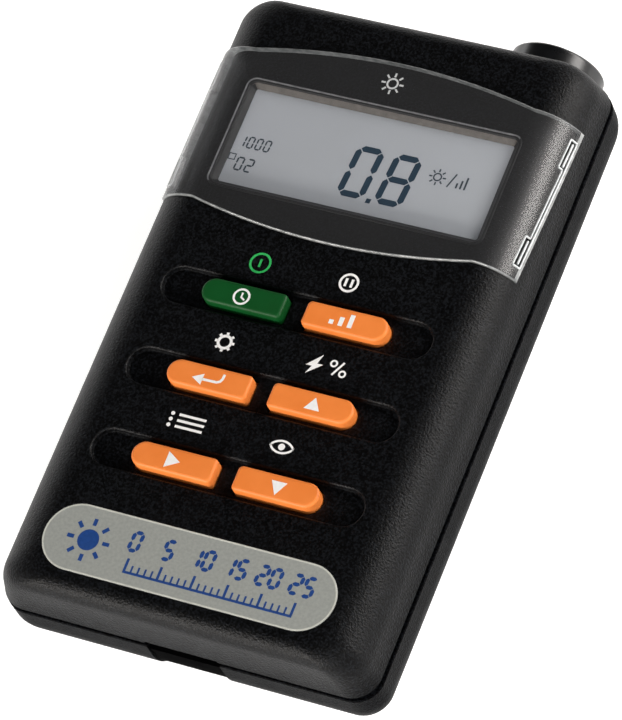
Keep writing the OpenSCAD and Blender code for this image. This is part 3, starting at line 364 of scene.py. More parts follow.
# A closed solid through rings of equal count, flat at both ends; a loop joins its last ring to its first
def fromRings(name, rings, loop=False):
    rings = np.asarray(rings, float)
    rows, cols = rings.shape[:2]
    faces = gridFaces(rows, cols, loop, True)
    if not loop:
        faces += [list(range(cols)), list(range((rows - 1) * cols, rows * cols))]
    return fromPoints(name, rings, faces)


# A solid with a flat outline, between two heights
def prism(name, outline, low, high):
    outline = np.asarray(outline, float)
    rings = [np.column_stack([outline, np.full(len(outline), z)]) for z in (low, high)]
    return fromRings(name, rings)


# The same along X: the outline holds (y, z) points
def prismX(name, outline, low, high):
    outline = np.asarray(outline, float)
    return fromRings(name, [np.column_stack([np.full(len(outline), x), outline]) for x in (low, high)])


# A box between two corners
def block(name, low, high):
    (x0, y0, z0), (x1, y1, z1) = low, high
    return prism(name, [(x0, y0), (x1, y0), (x1, y1), (x0, y1)], z0, z1)


# A turned solid: a profile of (radius, place along the axis) points, turned about an axis from a point;
# a closed profile makes a ring, and an open one has flat ends
def turned(name, profile, origin, axis="z", steps=64, loop=False, sign=1):
    angle = np.linspace(0, 2 * math.pi, steps, endpoint=False)
    profile = np.asarray(profile, float)
    radius, along = profile[:, :1], profile[:, 1:] * sign
    a, b, c = radius * np.cos(angle), radius * np.sin(angle), along + 0 * angle
    order = {"z": (a, b, c), "y": (a, c, b), "x": (c, a, b)}[axis]
    return fromRings(name, np.stack(order, -1) + np.asarray(origin, float), loop)


def rod(name, origin, length, radius, axis="z", steps=48):
    return turned(name, [(radius, 0), (radius, length)], origin, axis, steps)


# Replaces a piece's mesh by its mesh with the modifiers applied
def settle(piece):
    evaluated = piece.evaluated_get(bpy.context.evaluated_depsgraph_get())
    mesh = bpy.data.meshes.new_from_object(evaluated)
    piece.modifiers.clear()
    piece.data = mesh


# A boolean of a piece with others, which are used up
def combine(piece, operation, *others):
    for other in others:
        step = piece.modifiers.new("combine", "BOOLEAN")
        step.operation, step.solver, step.object = operation, "MANIFOLD", other
        settle(piece)
        bpy.data.objects.remove(other)
    return piece


def cut(piece, *others):
    return combine(piece, "DIFFERENCE", *others)


def weld(piece, *others):
    return combine(piece, "UNION", *others)


def common(piece, *others):
    return combine(piece, "INTERSECT", *others)


# Centres of a piece's faces, in millimetres
def faceCentres(piece):
    values = np.zeros(len(piece.data.polygons) * 3)
    piece.data.polygons.foreach_get("center", values)
    return values.reshape(-1, 3) / mm


def faceNormals(piece):
    values = np.zeros(len(piece.data.polygons) * 3)
    piece.data.polygons.foreach_get("normal", values)
    return values.reshape(-1, 3)


# Sets which of the piece's materials each face takes, by its place in the list
def paintFaces(piece, places):
    piece.data.polygons.foreach_set("material_index", np.asarray(places).astype(np.int32))


# Gives a piece its material and body, and shades it smooth but for edges sharper than an angle
def dress(piece, body, slot, materials, *replaced, sharp=32):
    materials = materials if isinstance(materials, (list, tuple)) else [materials]
    kept = np.zeros(len(piece.data.polygons), np.int32)
    piece.data.polygons.foreach_get("material_index", kept)
    piece.data.materials.clear()
    for key in materials:
        piece.data.materials.append(paint[key])
    paintFaces(piece, np.minimum(kept, len(materials) - 1))
    piece.data.shade_smooth()
    piece.data.set_sharp_from_angle(angle=sharp * degree)
    weighted = piece.modifiers.new("even_normals", "WEIGHTED_NORMAL")
    weighted.keep_sharp = True
    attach(piece, body)
    if replaced:
        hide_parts(*replaced)
    return piece


# The case's own sizes; its place and its overall size come from the frame
case = dict(wall=2.2, corner=4.5, groove=0.45, sideRound=7.75, sideLean=12.5, endRound=3.3, endLean=6.0,
            bandHeight=3.8, underRound=10.0, underTilt=29.0, backRound=3.5, edgeBreak=0.16, openUp=0.36,
            lipIn=1.2, lipHeight=1.2, lipGap=0.1, cornerSteps=12, roundSteps=24, underSteps=11, halfSteps=25)
frontLow, frontHigh = boxOf("front_case")
halfX, topZ, frontZ = frontHigh[0], frontHigh[2], frontLow[2]
lowY, highY = frontLow[1], frontHigh[1]
midY, halfY = (lowY + highY) / 2, (highY - lowY) / 2
rearZ = frontZ - case["groove"]
partZ = (frontZ + rearZ) / 2
over = 1.0  # overrun of a cut past the surface that it opens


# A column of numbers, one to a ring
def columnOf(values):
    return np.atleast_1d(values).astype(float)[:, None]


# Rings of a rounded rectangle, one for each height: quarter circles of the corner radius joined by straight
# sides
def roundedRings(halfWide, halfLong, radius, z, centreY=0.0):
    steps = case["cornerSteps"] + 1
    angle = np.concatenate([np.linspace(start, start + 90, steps) for start in (0, 90, 180, 270)]) * degree
    signX, signY = np.repeat([1, -1, -1, 1], steps), np.repeat([1, 1, -1, -1], steps)
    wide, long, up, radius = (columnOf(values) for values in (halfWide, halfLong, z, radius))
    x = signX * (wide - radius) + radius * np.cos(angle)
    y = centreY + signY * (long - radius) + radius * np.sin(angle)
    return np.stack([x, y, up + 0 * x], -1)


# Half size of the front at a height, on a surface a depth below the outside: a leaning wall that meets an
# edge round
def frontHalf(half, radius, lean, z, depth):
    lean = lean * degree
    roundUp = topZ - radius + radius * math.sin(lean) - frontZ
    centre = half - roundUp * math.tan(lean) - radius * math.cos(lean)
    inner, rise = radius - depth, np.asarray(z, float) - (topZ - radius)
    onRound = centre + np.sqrt(np.maximum(inner ** 2 - rise ** 2, 0))
    onWall = centre + inner * math.cos(lean) + (inner * math.sin(lean) - rise) * math.tan(lean)
    return np.where(rise > inner * math.sin(lean), onRound, onWall)


# Rings of the front half from a height up to the front face, on a surface a depth below the outside
def frontRings(depth, low, broken=0.0):
    turn = np.linspace(case["sideLean"], 90, case["roundSteps"] + 1) * degree
    z = np.append([low] if not broken else [low, low + broken],
                  topZ - case["sideRound"] + (case["sideRound"] - depth) * np.sin(turn))
    inset = np.zeros(len(z))
    inset[0] = broken
    return roundedRings(frontHalf(halfX, case["sideRound"], case["sideLean"], z, depth) - inset,
                        frontHalf(halfY, case["endRound"], case["endLean"], z, depth) - inset,
                        case["corner"] - depth, z, midY)


# Insets and heights of the rear half from the back up: an arc at the back, a leaning wall, an arc, and a
# straight band
def rearProfile(depth, top, broken=0.0):
    tilt, under = case["underTilt"] * degree, case["underRound"]
    bandZ = rearZ - case["bandHeight"]
    back = case["backRound"]
    endIn, endZ = under * (1 - math.cos(tilt)), bandZ - under * math.sin(tilt)
    backIn = endIn + (endZ - back * (1 - math.sin(tilt))) * math.tan(tilt) + back * math.cos(tilt)
    low = np.linspace(90, case["underTilt"], case["underSteps"]) * degree
    high = np.linspace(case["underTilt"], 0, case["underSteps"]) * degree
    inset = np.concatenate([backIn - (back - depth) * np.cos(low), under - (under - depth) * np.cos(high),
                            [depth]])
    z = np.concatenate([back - (back - depth) * np.sin(low), bandZ - (under - depth) * np.sin(high),
                        [top - broken]])
    if broken:
        inset, z = np.append(inset, depth + broken), np.append(z, top)
    return inset, z


def rearRings(depth, top, broken=0.0):
    inset, z = rearProfile(depth, top, broken)
    return roundedRings(halfX - inset, halfY - inset, case["corner"] - depth, z, midY)


# A slab of the case's outline, a depth inside it, between two heights
def caseSlab(depth, low, high):
    return fromRings("slab", roundedRings([halfX - depth] * 2, [halfY - depth] * 2, case["corner"] - depth,
                                          [low, high], midY))


# Rings of an obround with one height and inset each: half circles joined by straight sides
def obroundRings(length, width, z, inset, centre):
    angle = np.linspace(-90, 90, case["halfSteps"]) * degree
    radius = width / 2 - columnOf(inset)
    shift = (length - width) / 2
    x = np.concatenate([shift + radius * np.cos(angle), -shift - radius * np.cos(angle)], 1)
    y = np.concatenate([radius * np.sin(angle), -radius * np.sin(angle)], 1)
    return np.stack([x + centre[0], y + centre[1], columnOf(z) + 0 * x], -1)


# A rounded rim turns through this angle in these steps, and flares by a share of its radius above the surface
fillet = dict(turn=78, steps=7, flare=0.22)


# Heights and outward flares of a cut's rim fillet, from below the surface to just above it
def rimFillet(radius, surfaceZ):
    turn = np.linspace(0, fillet["turn"], fillet["steps"]) * degree
    z = surfaceZ - radius + radius * np.sin(turn)
    out = radius * (1 - np.cos(turn))
    return np.append(z, surfaceZ + over), np.append(out, out[-1] + radius * fillet["flare"])


# The window: a slab that follows the front over its long edge rounds, between bowed borders
window = dict(bow=2.65, bowWidth=48.0, proud=0.4, seat=1.2, dropLow=4.0, dropHigh=5.4, gap=0.1, edge=0.35,
              edgeSteps=6, plainRim=0.3, columns=40, arcSteps=18, rows=10)
windowLow, windowHigh = boxOf("window_lens")
seatZ = topZ - window["seat"] - window["gap"]
sideRound = case["sideRound"]
roundZ = topZ - sideRound  # height of the side rounds' centres, and half the width of the flat between them
flatHalf = float(frontHalf(halfX, sideRound, case["sideLean"], topZ, 0))


# Angle up the side round of the window's side edge, at a share of the window's length
def sideAngle(share, grow=0.0):
    drop = window["dropLow"] + (window["dropHigh"] - window["dropLow"]) * share
    return np.arcsin((sideRound - drop - grow) / sideRound)


# How far the window's borders bow in: it grows with the square of the distance from the middle
def bowAt(x):
    return window["bow"] * np.minimum(np.abs(x) / (window["bowWidth"] / 2), 1) ** 2


# Points of the window's surface a depth below the case's outside, for shares across and along it. Across, it
# runs round one side, over the flat and round the other; along, from the lower border to the upper one
def windowSheet(grow, depthAt, insets):
    inset = np.asarray(insets) - grow
    middle = window["rows"] - 2
    v = np.concatenate([np.zeros(len(inset)), np.linspace(0, 1, window["rows"])[1:-1], np.ones(len(inset))])
    endIn = np.concatenate([inset, np.full(middle, inset[-1]), inset[::-1]])
    nearEnd = np.concatenate([insets, np.full(middle, insets[-1]), insets[::-1]])
    arc = np.linspace(0, 1, window["arcSteps"])
    flat = np.linspace(-1, 1, window["columns"])[1:-1]
    # columns of one side: the rim's rows, then the arc up to the flat
    rimAngle = sideAngle(v, grow)[:, None] + np.asarray(insets)[None, :] / sideRound
    arcAngle = rimAngle[:, -1:] + (math.pi / 2 - rimAngle[:, -1:]) * arc[1:]
    angle = np.concatenate([rimAngle, arcAngle], 1)
    sideIn = np.concatenate([insets, np.full(len(arc) - 1, insets[-1])])
    nearSide = np.concatenate([sideIn, np.full(len(flat), insets[-1]), sideIn[::-1]])
    depth = depthAt(np.minimum(nearEnd[:, None], nearSide[None, :]))
    count = angle.shape[1]
    leftX = -flatHalf - (sideRound - depth[:, :count]) * np.cos(angle)
    leftZ = roundZ + (sideRound - depth[:, :count]) * np.sin(angle)
    flatX = flatHalf * flat[None, :] + 0 * v[:, None]
    flatZ = topZ - depth[:, count:count + len(flat)]
    x = np.concatenate([leftX, flatX, -leftX[:, ::-1]], 1)
    z = np.concatenate([leftZ, flatZ, leftZ[:, ::-1]], 1)
    low, high = windowLow[1] + bowAt(x), windowHigh[1] - bowAt(x)
    y = (low + endIn[:, None]) * (1 - v[:, None]) + (high - endIn[:, None]) * v[:, None]
    return np.stack([x, y, z], -1)


# A closed slab from an upper and a lower sheet with the same borders
def slabOf(name, upper, lower):
    rows, cols = upper.shape[:2]
    count = rows * cols
    last = (rows - 1) * cols
    faces = gridFaces(rows, cols) + [[count + i for i in face[::-1]] for face in gridFaces(rows, cols)]
    border = (list(range(cols)) + [r * cols + cols - 1 for r in range(1, rows)]
              + [last + c for c in range(cols - 2, -1, -1)] + [r * cols for r in range(rows - 2, 0, -1)])
    faces += [[a, b, count + b, count + a] for a, b in zip(border, border[1:] + border[:1])]
    return fromPoints(name, np.concatenate([upper.reshape(-1, 3), lower.reshape(-1, 3)]), faces)


# A direction that no bead runs along
slant = (0, 1, 0.3)


# A bead: a small circle carried along a closed path of points
def bead(name, path, radius, sides=8):
    path = np.asarray(path, float)
    ahead = np.roll(path, -1, 0) - np.roll(path, 1, 0)
    ahead /= np.linalg.norm(ahead, axis=1, keepdims=True)
    across = np.cross(ahead, slant)
    across /= np.linalg.norm(across, axis=1, keepdims=True)
    rise = np.cross(ahead, across)
    turn = np.linspace(0, 2 * math.pi, sides, endpoint=False)[None, :, None]
    rings = path[:, None] + radius * (across[:, None] * np.cos(turn) + rise[:, None] * np.sin(turn))
    return fromRings(name, rings, loop=True)


# The window's solid; its upper edges are rounded, and the pocket in the case is the same with a gap
def windowSolid(name, grow, proud, seat, edge):
    turn = np.linspace(0, 90, window["edgeSteps"]) * degree
    insets = edge * (1 - np.cos(turn)) if edge else np.array([0.0, window["plainRim"]])

    def upperDepth(near):
        if not edge:
            return -proud + 0 * near
        near = np.clip(near, 0, edge)
        return -proud + edge - np.sqrt(np.maximum(edge ** 2 - (edge - near) ** 2, 0))

    def lowerDepth(near):
        return seat + 0 * near

    return slabOf(name, windowSheet(grow, upperDepth, insets), windowSheet(grow, lowerDepth, insets))


# Keys and their recesses, the label, the display opening, the sensor's bore, the latch's notch and the bay
# of the cells
keys = dict(rows=(-0.88, -15.33, -29.78), inner=1.75, outer=15.8, width=4.2, gap=0.3, corner=0.7,
            cornerSteps=7, round=0.55, proud=1.07, foot=2.65, flange=0.8, flangeLow=1.2, flangeHigh=0.3,
            stem=1.8, stemHigh=0.7)
recess = dict(length=45.7, width=6.13, depth=1.0, rim=0.46, floorRound=0.3, floorShare=0.3)
labelLow, labelHigh = boxOf("name_plate")
label = dict(gap=0.05, sink=0.25, under=0.02, mouth=0.15, rim=0.2)
opening = dict(width=46.85, length=19.2, corner=1.5, drawIn=0.75, centreY=27.2, rim=0.45)
sensor = dict(x=20.0, z=21.75, boss=7.7, gap=0.1, flange=8.3, boreDeep=12.0, steps=96)
notch = dict(width=12.4, up=1.1, pocket=4.9, wall=1.4, behind=0.05)
bay = dict(low=-44.851, high=5.349, roof=14.15, roofThick=1.5, roofIn=3.1, roofCorner=3.0, wall=1.2,
           wallUp=0.4, half=22.2, rib=1.6, ribDown=2.0, ribEnd=1.5, cells=4, cellPitch=10.8)
bite = 0.7  # how far one solid runs into another that it joins


# Points of an arc about a centre, between two angles in degrees
def arcPoints(x, y, radius, start, end, steps):
    angle = np.linspace(start, end, steps) * degree
    return np.column_stack([x + radius * np.cos(angle), y + radius * np.sin(angle)])


# Outline of a key on the right-hand side, shrunk by an inset: a half circle, and a square end with small
# corners
def keyOutline(inset):
    half, corner, steps = keys["width"] / 2 - inset, keys["corner"], keys["cornerSteps"]
    end = keys["inner"] + inset
    return np.concatenate([arcPoints(keys["outer"] - keys["width"] / 2, 0, half, -90, 90, case["halfSteps"]),
                           arcPoints(end + corner, half - corner, corner, 90, 180, steps),
                           arcPoints(end + corner, corner - half, corner, 180, 270, steps)])


# The bore for the sensor boss, in the upper end of both halves
def bossCut():
    deep = sensor["boreDeep"]
    return rod("boss_cut", (sensor["x"], highY - deep, sensor["z"]), deep + 2 * over,
               sensor["boss"] + sensor["gap"], "y", sensor["steps"])


# The front half: lofted outside and inside, with its openings, seats and recesses cut
def makeFrontCase():
    wall, gap = case["wall"], case["lipGap"]
    body = fromRings("case_front", frontRings(0, frontZ + case["openUp"], case["edgeBreak"]))
    cut(body, fromRings("inside", frontRings(wall, frontZ - over)))
    innerTop = topZ - wall
    rebate = caseSlab(case["lipIn"] - gap, frontZ - over, partZ + case["lipHeight"] + gap)
    cut(body, cut(rebate, caseSlab(wall + gap, frontZ - 2 * over, partZ + 2 * over)))
    cut(body, windowSolid("pocket", window["gap"], over, window["seat"] + window["gap"], 0))
    rimZ, rimOut = rimFillet(opening["rim"], seatZ)
    z = np.append(innerTop - over, rimZ)
    inset = np.append(opening["drawIn"], -rimOut)
    cut(body, fromRings("display_cut", roundedRings(
        opening["width"] / 2 - inset, opening["length"] / 2 - inset, opening["corner"] - np.minimum(inset, 0),
        z, opening["centreY"])))
    floorZ, floorRound = topZ - recess["depth"], recess["floorRound"]
    near = floorRound * recess["floorShare"]
    rimZ, rimOut = rimFillet(recess["rim"], topZ)
    z = np.concatenate([[floorZ, floorZ + near, floorZ + floorRound], rimZ])
    inset = np.concatenate([[floorRound, near, 0], -rimOut])
    for y in keys["rows"]:
        cut(body, fromRings("recess_cut", obroundRings(recess["length"], recess["width"], z, inset, (0, y))))
        for side in (1, -1):
            outline = keyOutline(-keys["gap"]) * (side, 1) + (0, y)
            cut(body, prism("key_cut", outline, innerTop - over, topZ + over))
    size, centre = labelHigh - labelLow, (labelLow + labelHigh) / 2
    rimZ, rimOut = rimFillet(label["mouth"], topZ)
    z = np.append(topZ - label["sink"] - label["under"], rimZ)
    inset = np.append(-label["gap"], -label["gap"] - rimOut)
    cut(body, fromRings("label_cut", obroundRings(size[0], size[1], z, inset, centre[:2])))
    cut(body, bossCut())
    cut(body, block("notch_cut", (-notch["width"] / 2, lowY - over, frontZ - over),
                    (notch["width"] / 2, lowY + notch["pocket"], partZ + notch["up"])))
    return dress(body, "root", "case_plastic", "case", "front_case")


makeFrontCase()
print("front case made")

door = dict(half=24.6, gap=0.3, rise=5.0, corner=6.0, cornerY=-44.55, cornerSteps=13, hingeZ=1.1, hinge=1.1,
            earIn=20.4, ear=1.5, earOver=0.05, pin=0.7, pinGap=0.05)
screws = dict(places=((-25.6, -49.0), (25.6, -49.0), (-8.1, 45.8), (8.1, 45.8)), seat=16.0, well=2.7,
              hole=1.5, column=3.4, columnIn=0.1, mouth=0.35)
tripod = dict(y=28.0, wall=1.4, gap=0.05, sink=0.3, radius=3.175, length=6.5, boss=2.6, floor=1.5, mouth=0.4)
jack = dict(y=18.5, z=19.1, radius=1.8, wall=0.8, gap=0.2)


# Plan of the battery door, grown by a gap, up to a height: a straight upper end and rounded lower corners
def doorPrism(grow, highEnd, top):
    half, radius = door["half"] + grow, door["corner"] + grow
    left = arcPoints(radius - half, door["cornerY"], radius, 180, 270, door["cornerSteps"])
    right = left[::-1] * (-1, 1)
    end = [(radius - half, lowY - over), (half - radius, lowY - over)]
    outline = np.concatenate([[(-half, highEnd)], left, end, right, [(half, highEnd)]])
    return prism("door_plan", outline, -over, top)


# Holes and wells of the screws in the rear half, each with a chamfered mouth
def screwCut(place):
    z, r, mouth, hole = screws["seat"], screws["well"], screws["mouth"], screws["hole"]
    profile = [(r + mouth + over, -over), (r + mouth, 0), (r, mouth), (r, z), (hole, z), (hole, partZ)]
    return turned("screw_cut", profile, (*place, 0))


# The rear half: lofted shell with its lip, the battery bay and its ribs, screw columns and openings
def makeRearCase():
    lipTop = partZ + case["lipHeight"]
    body = fromRings("case_rear", rearRings(0, rearZ - case["openUp"], case["edgeBreak"]))
    weld(body, caseSlab(case["lipIn"], rearZ - case["lipHeight"], lipTop))
    inside = fromRings("inside", rearRings(case["wall"], lipTop + over))
    roof, bayEnd = bay["roof"], bay["high"] + bay["wall"]
    cut(inside, fromRings("roof", roundedRings(
        [halfX - bay["roofIn"]] * 2, [(bayEnd - lowY) / 2] * 2, bay["roofCorner"],
        [roof, roof + bay["roofThick"]], (bayEnd + lowY) / 2)))
    cut(inside, block("upper_wall", (-halfX, bay["high"], 0), (halfX, bayEnd, roof + bite)))
    cut(inside, block("lower_wall", (-bay["half"], bay["low"] - bay["wall"], door["rise"] + bay["wallUp"]),
                      (bay["half"], bay["low"], roof + bite)))
    for x in (-bay["cellPitch"], 0, bay["cellPitch"]):
        cut(inside, block("rib", (x - bay["rib"] / 2, bay["low"] + bay["ribEnd"], roof - bay["ribDown"]),
                          (x + bay["rib"] / 2, bay["high"] - bay["ribEnd"], roof + bite)))
    for place in screws["places"]:
        cut(inside, rod("column", (*place, 0), rearZ - screws["columnIn"], screws["column"]))
    cut(inside, rod("tripod_boss", (0, tripod["y"], 0), tripod["sink"] + tripod["length"] + tripod["floor"],
                    tripod["radius"] + tripod["wall"] + tripod["boss"]))
    half, pocket = notch["width"] / 2, lowY + notch["pocket"]
    cut(inside, block("notch_wall", (-half - notch["wall"], lowY, roof),
                      (half + notch["wall"], pocket + notch["wall"], partZ + bite)))
    cut(body, inside)
    hole = doorPrism(door["gap"], bay["high"], door["rise"] + door["gap"])
    ears, hinge = door["earIn"], (bay["high"], door["hingeZ"])
    reach = ears + door["ear"]
    weld(hole, rod("hinge_room", (-ears, *hinge), 2 * ears, door["hinge"] + door["gap"], "x"))
    for x in (-reach, ears):
        cut(hole, rod("ear", (x, *hinge), door["ear"], door["hinge"] + door["earOver"], "x"))
    pin = door["pin"] + door["pinGap"]
    cut(body, hole, rod("pin_hole", (-reach - over, *hinge), 2 * (reach + over), pin, "x"))
    cut(body, *[screwCut(place) for place in screws["places"]])
    cut(body, bossCut())
    inner, floorZ = bay["low"] - bay["wall"] - notch["behind"], door["rise"] - door["gap"] / 3
    room = [(lowY - over, floorZ), (inner, floorZ), (inner, roof), (pocket, roof), (pocket, lipTop + over),
            (lowY - over, lipTop + over)]
    cut(body, prismX("notch_cut", room, -half, half))
    cut(body, rod("jack_cut", (-halfX - over, jack["y"], jack["z"]), case["wall"] + 2 * over,
                  jack["radius"] + jack["wall"] + jack["gap"], "x"))
    bore, mouth = tripod["radius"] + tripod["wall"] + tripod["gap"], tripod["mouth"]
    cut(body, turned("insert_cut", [(bore + mouth + over, -over), (bore + mouth, 0), (bore, mouth),
                                    (bore, tripod["sink"] + tripod["length"])], (0, tripod["y"], 0)))
    return dress(body, "root", "case_plastic", "case", "rear_case")


makeRearCase()
print("rear case made")

# The latch tongue, whose last length is painted near black and matt as painted shade in the notch, and the
# grips and the arrow that point to it
latch = dict(gap=0.3, thick=1.5, lowIn=0.2, midIn=0.25, topIn=0.4, below=1.6, lip=0.2, lipHeight=1.2,
             bend=(0, 0.25, 0.5, 0.75, 1), shadeLength=8.0, shadeBelow=0.6, shadeOver=0.05)
grips = dict(count=7, first=-40.0, pitch=1.6, width=0.8, deep=0.45, longest=16, shorter=1.2,
             flare=0.15, foot=0.12)
arrow = dict(tip=-24.5, head=5.0, shaft=0.42, length=2.4)


# Room on one side of the door's upper edge, between two distances from the middle
def hingeRoom(side, start, end, down):
    low, high = sorted((side * start, side * end))
    return block("hinge_room", (low, bay["high"] - down, -over),
                 (high, bay["high"] + over, door["rise"] + over))


# Outline of the latch tongue in (y, z): from the back it follows the end round up to a lip at its top
def tongueOutline():
    tilt, under, back = case["underTilt"] * degree, case["underRound"], case["backRound"]
    bandZ = rearZ - case["bandHeight"]
    backIn = rearProfile(0, rearZ)[0][0]

    def onBack(depth):
        return [lowY + backIn - (back - depth) * math.cos(tilt), back - (back - depth) * math.sin(tilt)]

    def onEnd(share, thick):
        depth = latch["midIn"] + (latch["topIn"] - latch["midIn"]) * share + thick
        angle = tilt * (1 - share)
        return [lowY + under - (under - depth) * math.cos(angle), bandZ - (under - depth) * math.sin(angle)]

    top = partZ - latch["below"]
    face, thick, lip = lowY + latch["topIn"], latch["thick"], latch["lip"]
    lipLow = top - latch["lipHeight"]
    return ([onBack(latch["lowIn"])] + [onEnd(t, 0) for t in latch["bend"]]
            + [[face, lipLow - lip], [face - lip, lipLow], [face - lip, top], [face + thick, top]]
            + [onEnd(t, thick) for t in latch["bend"][::-1]] + [onBack(latch["lowIn"] + thick)])


# The battery door: the rear shell inside the door's plan, its hinge rod and pins, the latch tongue, and on
# the outside grip grooves and an arrow
def makeDoor():
    gap, ears = door["gap"], door["earIn"] + door["ear"]
    body = fromRings("door", rearRings(0, rearZ))
    common(body, doorPrism(0, bay["high"], door["rise"]))
    cut(body, fromRings("inside", rearRings(case["wall"], partZ)))
    for side in (1, -1):
        cut(body, hingeRoom(side, door["earIn"] - gap, ears + gap, door["hinge"] + gap))
        cut(body, hingeRoom(side, door["earIn"], halfX, 2 * gap))
    reach = door["earIn"] - gap
    weld(body, rod("hinge_rod", (-reach, bay["high"], door["hingeZ"]), 2 * reach, door["hinge"], "x"))
    weld(body, rod("pin", (-ears, bay["high"], door["hingeZ"]), 2 * ears, door["pin"], "x"))
    half = notch["width"] / 2 - latch["gap"]
    weld(body, prismX("tongue", tongueOutline(), -half, half))
    for i in range(grips["count"]):
        wide = grips["longest"] - grips["shorter"] * abs(i - (grips["count"] - 1) / 2)
        cut(body, fromRings("grip", obroundRings(wide, grips["width"], [-over, 0, grips["deep"]],
                                                 [-grips["flare"], -grips["flare"], grips["foot"]],
                                                 (0, grips["first"] + i * grips["pitch"]))))
    head, tip = arrow["head"], arrow["tip"]
    shaft, neck, tail = arrow["shaft"] * head, tip + head, tip + arrow["length"] * head
    outline = [(0, tip), (head, neck), (shaft, neck), (shaft, tail), (-shaft, tail), (-shaft, neck),
               (-head, neck)]
    cut(body, prism("arrow", outline, -over, grips["deep"]))
    x, y, z = faceCentres(body).T
    # the tongue's end in the notch takes the near-black latch finish: painted shade
    paintFaces(body, (np.abs(x) < half + latch["shadeOver"]) & (y < lowY + latch["shadeLength"])
               & (z > door["rise"] - latch["shadeBelow"]))
    return dress(body, "door", "door_plastic", ["door", "latch"], "battery_door")


makeDoor()
print("battery door made")


# A groove and two slots run along each side edge of the window, with beads round them painted pale as painted
# highlights: heights up the side round, lengths along the side edge, and how far each bead's middle lies in,
# in bead radii
side = dict(grooveUp=1.0, grooveHalf=0.26, grooveDeep=0.6, slotUp=0.85, slotLength=5.2, slotIn=2.2,
            slotDeep=0.9, runOn=0.01, bead=0.17, beadIn=0.5, tongueIn=0.55, tongueUp=0.156, tongueLow=0.12,
            tongueHigh=0.20, tongueBeadIn=1.2, along=(0.02, 0.25, 0.5, 0.75, 0.98), rimShare=0.75, sunkUp=1.2,
            sunkDeep=0.05, underFacing=0.5)
sideLength = windowHigh[1] - windowLow[1] - 2 * window["bow"]
slotFrom, slotTo = side["slotIn"] / sideLength, (side["slotIn"] + side["slotLength"]) / sideLength


# Points round the window's side: a share along its edge, a height up the round, and a reach from its centre
def sidePoints(sign, share, up, reach):
    angle = sideAngle(share) + np.asarray(up) / sideRound
    x = sign * (flatHalf + reach * np.cos(angle))
    y = windowLow[1] + window["bow"] + sideLength * share
    return np.column_stack([x, y + 0 * x, roundZ + reach * np.sin(angle)])


# A cutter along the window's side: a bar that follows the side edge between two heights above it
def sideBar(sign, upFrom, upTo, shareFrom, shareTo, deep):
    reach = sideRound + window["proud"] + np.array([over, over, -deep, -deep])
    return fromRings("side_bar", [sidePoints(sign, share, [upFrom, upTo, upTo, upFrom], reach)
                                  for share in (shareFrom, shareTo)])


# The finish of each face of the window: 0 clear, 1 rim painted pale as a painted highlight, 2 underside, 3
# floor of a groove or slot painted dark as painted shade
def windowFinish(lens):
    centre = faceCentres(lens)
    bow = bowAt(centre[:, 0])
    near = np.minimum(centre[:, 1] - windowLow[1] - bow, windowHigh[1] - bow - centre[:, 1])
    share = (centre[:, 1] - windowLow[1] - window["bow"]) / sideLength
    out, rise = np.abs(centre[:, 0]) - flatHalf, centre[:, 2] - roundZ
    angle = np.arctan2(rise, np.maximum(out, 1e-3))
    up = (angle - sideAngle(share)) * sideRound
    # rim faces, the border round and the strip below the groove, are painted pale as a painted highlight
    rim = (near < window["edge"] * side["rimShare"]) | (up < side["grooveUp"] - side["grooveHalf"])
    outward = np.column_stack([np.sign(centre[:, 0]) * np.cos(angle), 0 * angle, np.sin(angle)])
    outward[out < 0] = (0, 0, 1)
    under = (faceNormals(lens) * outward).sum(1) < -side["underFacing"]
    deep = np.hypot(np.maximum(out, 0), rise) < sideRound - side["sunkDeep"]
    # groove and slot floors take the dark bezel finish as painted shade inside the clear lens
    sunkShade = ~under & deep & (up < side["grooveUp"] + side["sunkUp"]) & ~rim
    return np.select([under, sunkShade, rim], [2, 3, 1], 0)


# Corners as (share, height) of the line round the groove and slots, and of the tongues in the two slots
def beadOutlines():
    low, high = side["grooveUp"] - side["grooveHalf"], side["grooveUp"] + side["grooveHalf"]
    top = high + side["slotUp"]
    edge = [(slotFrom, low), (slotTo, low), (1 - slotTo, low), (1 - slotFrom, low), (1 - slotFrom, top),
            (1 - slotTo, top), (1 - slotTo, high), (slotTo, high), (slotTo, top), (slotFrom, top)]
    inset, foot = side["tongueIn"] / sideLength, side["grooveUp"] + side["tongueUp"]
    start, end = slotFrom + inset, slotTo - inset
    low, high = foot + side["tongueLow"], foot + side["tongueHigh"]
    tongue = [(start, low), (end, low), (end, high), (start, high)]
    return {"window_edge_": (edge, side["beadIn"]), "window_tongue_low_": (tongue, side["tongueBeadIn"]),
            "window_tongue_high_": ([(1 - share, up) for share, up in tongue], side["tongueBeadIn"])}


